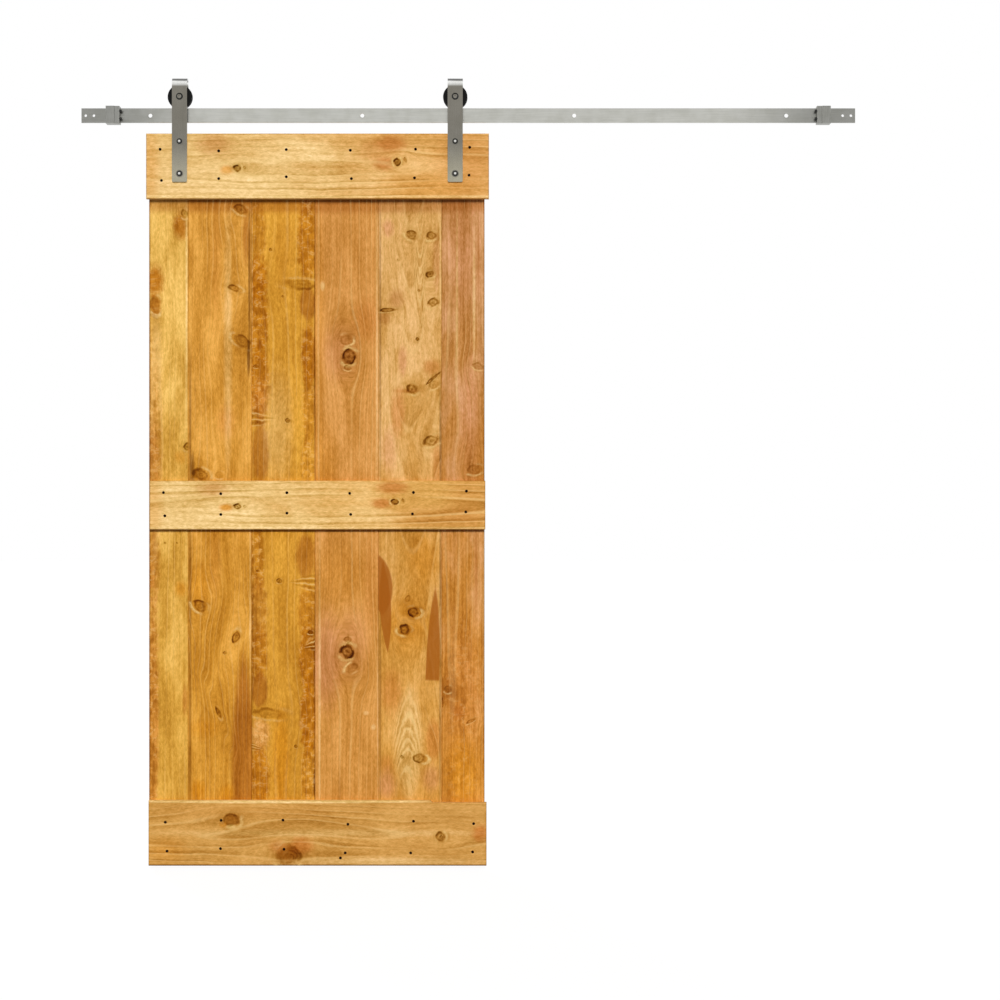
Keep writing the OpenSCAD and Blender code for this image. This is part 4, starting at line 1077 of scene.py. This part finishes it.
def pine_material(name, board):
    """Stained pine for one board, with its own figure, knots and stains."""
    pine = bpy.context.scene.barn_door_pine
    low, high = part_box(name)
    upright = high.z - low.z > high.x - low.x
    material, s, shader, place = new_material(f"pine_{name}")
    corner = (low.x, low.y, high.z)
    down = s.split(s.vector("MULTIPLY", s.vector("SUBTRACT", place, corner), (1.0, 1.0, -1.0)))
    across, along = (down["X"], down["Z"]) if upright else (down["Z"], down["X"])
    point = s.join(across, along, down["Y"])
    seed_depth = SEED_GAP * (list(BOARDS).index(name) + 1)
    seed = s.vector("ADD", point, (0.0, 0.0, seed_depth))
    width, length = high.x - low.x, high.z - low.z
    if not upright:
        width, length = length, width

    def on_board(mark):
        """The place and half sizes of a mark in the board's own directions."""
        spot, pixel = photo_point(mark.px, mark.py, low.y)
        right, drop = spot.x - low.x, high.z - spot.z
        spans = (mark.half_w * pixel, mark.half_h * pixel)
        if upright:
            return (right, drop, 0.0), (*spans, 1.0), math.radians(mark.turn)
        return (drop, right, 0.0), (spans[1], spans[0], 1.0), -math.radians(mark.turn)

    ragged = s.use(raggedness_group(), point=seed)

    def stained(colour, marks, shown=None):
        """The colour with patches laid over it, stains and painted shadow alike, where they are shown, and
        the mask of their curly figure.
        """
        curls = 0.0
        for stain in marks:
            spot, half, turn = on_board(stain)
            amount = s.math("MULTIPLY", shown, stain.amount) if shown else stain.amount
            patch = s.use(stain_group(), colour=colour, point=point, place=spot, half_size=half, turn=turn,
                          tint=opaque(getattr(pine, stain.tint)), amount=amount, softness=stain.soft,
                          shake=ragged["Stains"], ragged=stain.ragged, pointed=stain.pointed,
                          flat_foot=stain.flat_foot, curly=stain.curly, curls=curls)
            colour, curls = patch["Colour"], patch["Curls"]
        return colour, curls

    masks = {"flow": 0.0, "heart": 0.0, "bark": 0.0, "halo": 0.0}
    for knot in board.knots:
        spot, half, turn = on_board(knot)
        found = s.use(knot_group(), point=point, place=spot, half_size=half, turn=turn,
                      lean=math.radians(knot.lean), darkness=knot.dark, paleness=knot.pale, swirl=knot.swirl,
                      ragged=ragged["Knots"], patches=ragged["Patches"], **masks)
        masks = {label: found[label.title()] for label in masks}
    for group, marks in ((spike_group(), board.spikes), (arch_group(), board.arches)):
        for mark in marks:
            spot, half, turn = on_board(mark)
            found = s.use(group, point=point, place=spot, half_size=half, turn=turn, amount=mark.amount,
                          ragged=ragged["Knots"], heart=masks["heart"], halo=masks["halo"])
            masks.update(heart=found["Heart"], halo=found["Halo"])
    figure = s.use(pine_group(), point=seed, flow=masks["flow"], pith=board.pith,
                   pith_depth=board.pith_depth - seed_depth, pith_slope=board.pith_slope,
                   pith_turn=board.pith_turn, ring_gap=board.ring_gap, wave=GRAIN_WAVE)

    lengthways = s.plus(s.math("DIVIDE", along, length),
                        s.math("SUBTRACT", figure["Tone"], NOISE_MIDDLE), END_SWAY)
    colour = s.mix(s.step(lengthways, *END_BLEND), opaque(board.start), opaque(board.end))
    colour, curls = stained(colour, board.stains)
    # Painted shadow under the top and middle rails, on the planks' fronts only
    if upright:
        front = s.step(down["Y"], FRONT_SKIN, 0.0)
        colour, _ = stained(colour, PAINTED_RAIL_SHADOW, shown=front)

    edges = s.use(edge_group(), point=point, size=(width, length, 1.0), width=EDGE_BAND)["Mask"]
    facing = s.split(place.node.outputs["Normal"])["Z" if upright else "X"]
    end_grain = s.step(s.math("ABSOLUTE", facing), *END_GRAIN_FACING)
    shade = 1.0
    for mask, middle, amount in (
            (figure["Tone"], NOISE_MIDDLE, board.tone), (figure["Streaks"], NOISE_MIDDLE, board.streaks),
            (figure["Mottle"], NOISE_MIDDLE, board.mottle), (figure["Flecks"], NOISE_MIDDLE, FLECKS),
            (figure["Blotches"], NOISE_MIDDLE, s.math("MULTIPLY", curls, BLOTCHES)),
            (figure["Rings"], RINGS_MIDDLE, board.rings),
            (edges, 0.0, EDGE_DARK), (end_grain, 0.0, END_GRAIN_DARK)):
        shade = s.plus(shade, s.math("SUBTRACT", middle, mask), amount)
    colour = s.use(wood_shade_group(), colour=colour, shade=shade)["Colour"]
    pale = opaque(pine.pale)
    colour = s.mix(s.math("MULTIPLY", figure["Lines"], board.lines * LINE_LIGHT), colour, pale)
    colour = s.mix(s.math("MULTIPLY", s.math("MULTIPLY", figure["Wisps"], curls), WISP_LIGHT), colour, pale)
    colour = s.mix(s.math("MULTIPLY", masks["halo"], HALO_LIGHT), colour, pale)
    colour, _ = stained(colour, board.leaves)
    heart_shade = s.math("SUBTRACT", 1.0, s.math("MULTIPLY", masks["heart"], HEART_DARK))
    bark_shade = s.math("SUBTRACT", 1.0, s.math("MULTIPLY", masks["bark"], BARK_DARK))
    knot_shade = s.math("MULTIPLY", heart_shade, bark_shade)
    colour = s.use(wood_shade_group(), colour=colour, shade=knot_shade)["Colour"]

    s.feed(shader["Base Color"], colour)
    s.feed(shader["Roughness"], s.plus(WOOD_ROUGHNESS, figure["Streaks"], STREAK_ROUGHNESS))
    s.feed(shader["Specular IOR Level"], WOOD_GLOSS)
    s.feed(shader["Normal"], s.bump(figure["Height"], pine.grain_depth, GRAIN_STRENGTH))
    return material


class BARNDOOR_OT_planks(bpy.types.Operator):
    """Stains the six upright planks"""
    bl_idname = "barn_door.planks"
    bl_label = "Stain Planks"

    def execute(self, context):
        for name in PLANKS:
            dress([name], pine_material(name, BOARDS[name]))
        return {"FINISHED"}


class BARNDOOR_OT_rails(bpy.types.Operator):
    """Stains the three face rails"""
    bl_idname = "barn_door.rails"
    bl_label = "Stain Rails"

    def execute(self, context):
        for name in RAILS:
            dress([name], pine_material(name, BOARDS[name]))
        return {"FINISHED"}


class BARNDOOR_OT_screws(bpy.types.Operator):
    """Coats the rail screws black"""
    bl_idname = "barn_door.screws"
    bl_label = "Coat Screws"

    def execute(self, context):
        hardware = context.scene.barn_door_hardware
        worn, worn_edge = srgb(52, 28, 18), (0.62, 0.8)
        skin_scale, skin_depth = 2400.0, 0.00008
        roughness, patchiness, gloss = 0.5, 0.2, 0.08

        material, s, shader, place = new_material("black_screw_coat")
        skin = s.use(speckle_group(), point=place, scale=skin_scale)
        bare = s.step(skin["Grain"], *worn_edge)
        s.feed(shader["Base Color"], s.mix(bare, opaque(hardware.screw), opaque(worn)))
        s.feed(shader["Roughness"], s.plus(roughness, skin["Patches"], patchiness))
        s.feed(shader["Specular IOR Level"], gloss)
        s.feed(shader["Normal"], s.bump(skin["Grain"], skin_depth))
        dress([f"{rail}_screws" for rail in RAILS], material)
        return {"FINISHED"}


# Steel

def steel_material(name, colour, stretch, roughness, fades=(), heads=()):
    """Brushed steel. Each fade takes it to another colour along Z, or along X away from the middle, painting
    a lighter or darker reflection by place, and each head gives a bolt's centre, radius, the colour of its
    painted shaded rim and the colour of its crown, which holds the strap bolts' painted highlight."""
    line_dark, smudge_dark = grey(0.86), (0.9, 0.9, 0.882, 1.0)
    line_roughness, line_depth, line_strength = 0.1, 0.00012, 0.35

    material, s, shader, place = new_material(name)
    brushed = s.use(brushed_group(), point=place, stretch=stretch)
    base = opaque(colour)
    for axis, start, end, colour_to in fades:
        value = s.split(place)[axis]
        if axis == "X":
            value = s.math("ABSOLUTE", value)
        base = s.mix(s.step(value, start, end), base, opaque(colour_to))
    for centre, radius, rim, crown in heads:
        head = s.use(head_group(), point=place, centre=centre, radius=radius)
        base = s.mix(head["Rim"], base, opaque(rim))
        base = s.mix(head["Crown"], base, opaque(crown))
    base = s.mix(brushed["Lines"], base, line_dark, "MULTIPLY")
    base = s.mix(brushed["Smudges"], base, smudge_dark, "MULTIPLY")
    s.feed(shader["Base Color"], base)
    s.feed(shader["Metallic"], 1.0)
    s.feed(shader["Roughness"], s.plus(roughness, brushed["Lines"], line_roughness))
    s.feed(shader["Normal"], s.bump(brushed["Height"], line_depth, line_strength))
    return material


class BARNDOOR_OT_track(bpy.types.Operator):
    """Brushes the track bar and its two stops"""
    bl_idname = "barn_door.track"
    bl_label = "Brush Track and Stops"

    def execute(self, context):
        hardware = context.scene.barn_door_hardware
        # The bar darkens towards its ends as a painted darker reflection, and the stops get the same painted
        # darker copy of the track steel
        painted_end_dark, fade_start, fade_end = 0.56, 0.64, 0.94
        bar_brush, bar_roughness = (14.0, 900.0, 900.0), 0.3
        stop_brush, stop_roughness = (420.0, 420.0, 40.0), 0.34

        end_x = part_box("track_bar")[1].x
        shade = tuple(painted_end_dark * channel for channel in hardware.track)
        bar = steel_material("brushed_track_steel", hardware.track, bar_brush, bar_roughness,
                             fades=[("X", end_x * fade_start, end_x * fade_end, shade)])
        dress(["track_bar"], bar)
        collars = [f"{side}_stop_collar" for side in SIDES]
        dress(collars, steel_material("painted_shade_stop_steel", shade, stop_brush, stop_roughness))
        round_edges(collars, hardware.edge_round)
        return {"FINISHED"}


class BARNDOOR_OT_straps(bpy.types.Operator):
    """Brushes the hanger straps"""
    bl_idname = "barn_door.straps"
    bl_label = "Brush Hanger Straps"

    def execute(self, context):
        hardware = context.scene.barn_door_hardware
        strap_brush, strap_roughness = (900.0, 900.0, 14.0), 0.2
        # Depths below the strap's top and height over its foot at which its colours change, in metres: a
        # painted highlight over the bend, painted shade on its crown and a painted lighter reflection towards
        # the foot
        bend_start, bend_full, crown_start, crown_full, foot_height = 0.026, 0.017, 0.011, 0.005, 0.13

        names = [f"{side}_hanger_strap" for side in SIDES]
        low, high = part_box(names[0])
        steel = steel_material(
            "brushed_strap_steel", hardware.strap, strap_brush, strap_roughness,
            fades=[("Z", high.z - bend_start, high.z - bend_full, hardware.bend),
                   ("Z", high.z - crown_start, high.z - crown_full, hardware.crown),
                   ("Z", low.z + foot_height, low.z, hardware.foot)])
        dress(names, steel)
        round_edges(names, hardware.edge_round)
        return {"FINISHED"}


# Share of a strap bolt's flange that its domed head covers
HEAD_SHARE = 15 / 21


class BARNDOOR_OT_fasteners(bpy.types.Operator):
    """Finishes bolts, nuts, washers, spacers and set screws"""
    bl_idname = "barn_door.fasteners"
    bl_label = "Finish Fasteners"

    def execute(self, context):
        hardware = context.scene.barn_door_hardware
        grain, satin, bright = (260.0, 260.0, 260.0), 0.24, 0.2

        plain = ("axle_spacers", "axle_nut", "strap_washers", "strap_nuts", "stop_set_screws")
        dress([f"{side}_{kind}" for side in SIDES for kind in plain],
              steel_material("satin_bolt_steel", hardware.bolt, grain, satin))
        # Painted light on the bolt heads: a painted shaded rim on all of them, and a painted highlight crown
        # in the bend's colour on the strap bolts
        strap_heads, axle_heads = [], []
        for side in SIDES:
            low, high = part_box(f"{side}_strap_bolts")
            flange = (high.x - low.x) / 2
            for z in (low.z + flange, high.z - flange):
                centre = (low.x + flange, low.y, z)
                strap_heads.append((centre, flange * HEAD_SHARE, hardware.rim, hardware.bend))
            low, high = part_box(f"{side}_axle_bolt")
            axle_heads.append(((low + high) / 2, (high.x - low.x) / 2, hardware.rim, hardware.strap))
        dress([f"{side}_strap_bolts" for side in SIDES],
              steel_material("painted_highlight_bolt_steel", hardware.strap, grain, bright, heads=strap_heads))
        dress([f"{side}_axle_bolt" for side in SIDES],
              steel_material("axle_bolt_steel", hardware.strap, grain, satin, heads=axle_heads))
        return {"FINISHED"}


class BARNDOOR_OT_bearings(bpy.types.Operator):
    """Polishes the bearings' rings, balls and shields"""
    bl_idname = "barn_door.bearings"
    bl_label = "Polish Bearings"

    def execute(self, context):
        hardware = context.scene.barn_door_hardware
        grinding, roughness = (700.0, 120.0, 700.0), 0.16

        kinds = ("bearing_outer_ring", "bearing_inner_ring", "bearing_balls", "bearing_shields")
        names = [f"{side}_{kind}" for side in SIDES for kind in kinds]
        dress(names, steel_material("ground_bearing_steel", hardware.bearing, grinding, roughness))
        return {"FINISHED"}


class BARNDOOR_OT_wheels(bpy.types.Operator):
    """Finishes the black nylon wheels with their turning marks"""
    bl_idname = "barn_door.wheels"
    bl_label = "Finish Wheels"

    def execute(self, context):
        hardware = context.scene.barn_door_hardware
        scuff, scuff_edge = srgb(40, 39, 38), (0.55, 0.85)
        turning_waves, turning_height = 9000.0, 0.3
        skin_scale, skin_depth = 1600.0, 0.00008
        roughness, patchiness, gloss = 0.42, 0.16, 0.16

        for side in SIDES:
            name = f"{side}_wheel"
            low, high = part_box(name)
            axle = (low + high) / 2
            material, s, shader, place = new_material(f"turned_nylon_{side}")
            offset = s.vector("MULTIPLY", s.vector("SUBTRACT", place, axle), (1.0, 0.0, 1.0))
            radius = s.vector("LENGTH", offset)
            turning = s.math("SINE", s.math("MULTIPLY", radius, turning_waves))
            skin = s.use(speckle_group(), point=place, scale=skin_scale)
            scuffed = s.step(skin["Grain"], *scuff_edge)
            s.feed(shader["Base Color"], s.mix(scuffed, opaque(hardware.nylon), opaque(scuff)))
            s.feed(shader["Roughness"], s.plus(roughness, skin["Patches"], patchiness))
            s.feed(shader["Specular IOR Level"], gloss)
            height = s.plus(skin["Grain"], turning, turning_height)
            s.feed(shader["Normal"], s.bump(height, skin_depth))
            dress([name], material)
        return {"FINISHED"}


class BARNDOOR_OT_bumpers(bpy.types.Operator):
    """Finishes the rubber bumpers of the stops"""
    bl_idname = "barn_door.bumpers"
    bl_label = "Finish Bumpers"

    def execute(self, context):
        hardware = context.scene.barn_door_hardware
        dust, dust_edge = srgb(60, 59, 57), (0.4, 1.0)
        skin_scale, skin_depth = 1900.0, 0.0001
        roughness, graininess = 0.68, 0.2

        material, s, shader, place = new_material("matt_bumper_rubber")
        skin = s.use(speckle_group(), point=place, scale=skin_scale)
        dusty = s.step(skin["Patches"], *dust_edge)
        s.feed(shader["Base Color"], s.mix(dusty, opaque(hardware.rubber), opaque(dust)))
        s.feed(shader["Roughness"], s.plus(roughness, skin["Grain"], graininess))
        s.feed(shader["Normal"], s.bump(skin["Grain"], skin_depth))
        dress([f"{side}_stop_bumpers" for side in SIDES], material)
        return {"FINISHED"}


# Stage

# The floor as matt surfaces see it, and the two parts of what the eye sees: a white veil and a shadow
FLOOR_GREY = grey(0.42)
FLOOR_WHITE = grey(0.912)
FLOOR_SHADOW = grey(0.12)
FLOOR_HALF = 30.0

# The white that the eye sees around the door
WHITE = grey(1.0)

# The way that each light comes from, seen from above, and the angle at which a light shines along the floor
KEY_TURN = math.radians(4)
BACK_TURN = math.radians(205)
ALONG_FLOOR = math.radians(90)


def pale_floor(context):
    """A wide pale floor that is white to the eye and to steel, and still takes a light shadow."""
    stage = context.scene.barn_door_stage
    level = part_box("plank_1")[0].z - stage.floor_gap
    corners = [(x * FLOOR_HALF, y * FLOOR_HALF, level) for x, y in ((-1, -1), (1, -1), (1, 1), (-1, 1))]
    mesh = bpy.data.meshes.new("floor")
    mesh.from_pydata(corners, [], [(0, 1, 2, 3)])
    floor = bpy.data.objects.new("floor", mesh)
    context.scene.collection.objects.link(floor)
    material = bpy.data.materials.new("pale_floor")
    material.use_nodes = True
    material.node_tree.nodes.clear()
    s = Sketch(material.node_tree)
    rays = s.add("ShaderNodeLightPath").outputs
    seen = s.math("MAXIMUM", s.math("MAXIMUM", rays["Is Camera Ray"], rays["Is Glossy Ray"]),
                  rays["Is Transmission Ray"])
    matt = s.add("ShaderNodeBsdfDiffuse")
    s.feed(matt.inputs["Color"], s.mix(seen, FLOOR_GREY, FLOOR_SHADOW))
    white = s.add("ShaderNodeEmission")
    s.feed(white.inputs["Color"], FLOOR_WHITE)
    s.feed(white.inputs["Strength"], seen)
    veil = s.add("ShaderNodeAddShader")
    s.feed(veil.inputs[0], matt.outputs[0])
    s.feed(veil.inputs[1], white.outputs[0])
    output = s.add("ShaderNodeOutputMaterial")
    s.feed(output.inputs["Surface"], veil.outputs[0])
    mesh.materials.append(material)


def studio_world(context):
    """A white room for the eye, a softer one for matt surfaces, and a shaded front for steel to mirror."""
    stage = context.scene.barn_door_stage
    # Where the shaded front and ceiling start and are full, as parts of the way's length along Y and Z
    front_edge, front_top, ceiling_edge = (-0.25, -0.85), (0.3, 0.12), (0.62, 0.94)

    world = bpy.data.worlds.new("white_studio")
    world.use_nodes = True
    world.node_tree.nodes.clear()
    s = Sketch(world.node_tree)
    rays = s.add("ShaderNodeLightPath").outputs
    direction = s.split(s.add("ShaderNodeTexCoord").outputs["Generated"])
    low_front = s.math("MULTIPLY", s.step(direction["Y"], *front_edge), s.step(direction["Z"], *front_top))
    overhead = s.step(direction["Z"], *ceiling_edge)
    mirrored = s.mix(low_front, WHITE, grey(stage.front_shade))
    mirrored = s.mix(overhead, mirrored, grey(stage.ceiling_shade))
    matt = s.mix(rays["Is Glossy Ray"], grey(stage.fill), mirrored)
    seen = s.math("MAXIMUM", rays["Is Camera Ray"], rays["Is Transmission Ray"])
    background = s.add("ShaderNodeBackground")
    s.feed(background.inputs["Color"], s.mix(seen, matt, WHITE))
    output = s.add("ShaderNodeOutputWorld")
    s.feed(output.inputs["Surface"], background.outputs[0])
    context.scene.world = world


def soft_lights(context):
    """A soft key light from the front and above, even over the whole door, and a weaker one from behind."""
    stage = context.scene.barn_door_stage
    for name, strength, height, turn in (
            ("key", stage.key_strength, stage.key_height, KEY_TURN),
            ("back", stage.back_strength, stage.back_height, BACK_TURN)):
        lamp = bpy.data.lights.new(name, "SUN")
        lamp.energy = strength
        lamp.angle = stage.softness
        light = bpy.data.objects.new(name, lamp)
        light.rotation_euler = (ALONG_FLOOR - height, 0.0, turn)
        light.visible_glossy = False
        context.scene.collection.objects.link(light)


def photo_camera(context):
    """The camera, square to the door's face, where the photograph was taken from."""
    stage = context.scene.barn_door_stage
    lens = bpy.data.cameras.new("camera")
    lens.lens = lens.sensor_width * stage.camera_distance / stage.field_width
    camera = bpy.data.objects.new("camera", lens)
    rails_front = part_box("top_rail")[0].y
    camera.location = (stage.camera_x, rails_front - stage.camera_distance, stage.camera_z)
    camera.rotation_euler = (ALONG_FLOOR, 0.0, 0.0)
    context.scene.collection.objects.link(camera)
    context.scene.camera = camera


class BARNDOOR_OT_stage(bpy.types.Operator):
    """Sets up the floor, the light and the camera"""
    bl_idname = "barn_door.stage"
    bl_label = "Set Up Stage"

    def execute(self, context):
        context.scene.view_settings.view_transform = "Standard"
        pale_floor(context)
        studio_world(context)
        soft_lights(context)
        photo_camera(context)
        return {"FINISHED"}


STEPS = (
    BARNDOOR_OT_planks, BARNDOOR_OT_rails, BARNDOOR_OT_screws, BARNDOOR_OT_track, BARNDOOR_OT_straps,
    BARNDOOR_OT_fasteners, BARNDOOR_OT_bearings, BARNDOOR_OT_wheels, BARNDOOR_OT_bumpers, BARNDOOR_OT_stage,
)
SETTINGS = {
    "barn_door_pine": PineSettings,
    "barn_door_hardware": HardwareSettings,
    "barn_door_stage": StageSettings,
}


class BARNDOOR_PT_panel(bpy.types.Panel):
    """Lists the steps and the settings"""
    bl_idname = "BARNDOOR_PT_panel"
    bl_label = "Barn Door"
    bl_space_type = "VIEW_3D"
    bl_region_type = "UI"
    bl_category = "Barn Door"

    def draw(self, context):
        for step in STEPS:
            self.layout.operator(step.bl_idname)
        for name, group in SETTINGS.items():
            box = self.layout.box()
            for label in group.__annotations__:
                box.prop(getattr(context.scene, name), label)


CLASSES = (*SETTINGS.values(), *STEPS, BARNDOOR_PT_panel)


def register():
    for cls in CLASSES:
        bpy.utils.register_class(cls)
    for name, group in SETTINGS.items():
        setattr(bpy.types.Scene, name, bpy.props.PointerProperty(type=group))


def unregister():
    for name in SETTINGS:
        delattr(bpy.types.Scene, name)
    for cls in reversed(CLASSES):
        bpy.utils.unregister_class(cls)


def main():
    register()
    for step in STEPS:
        _, name = step.bl_idname.split(".")
        getattr(bpy.ops.barn_door, name)()


if __name__ == "__main__":
    main()
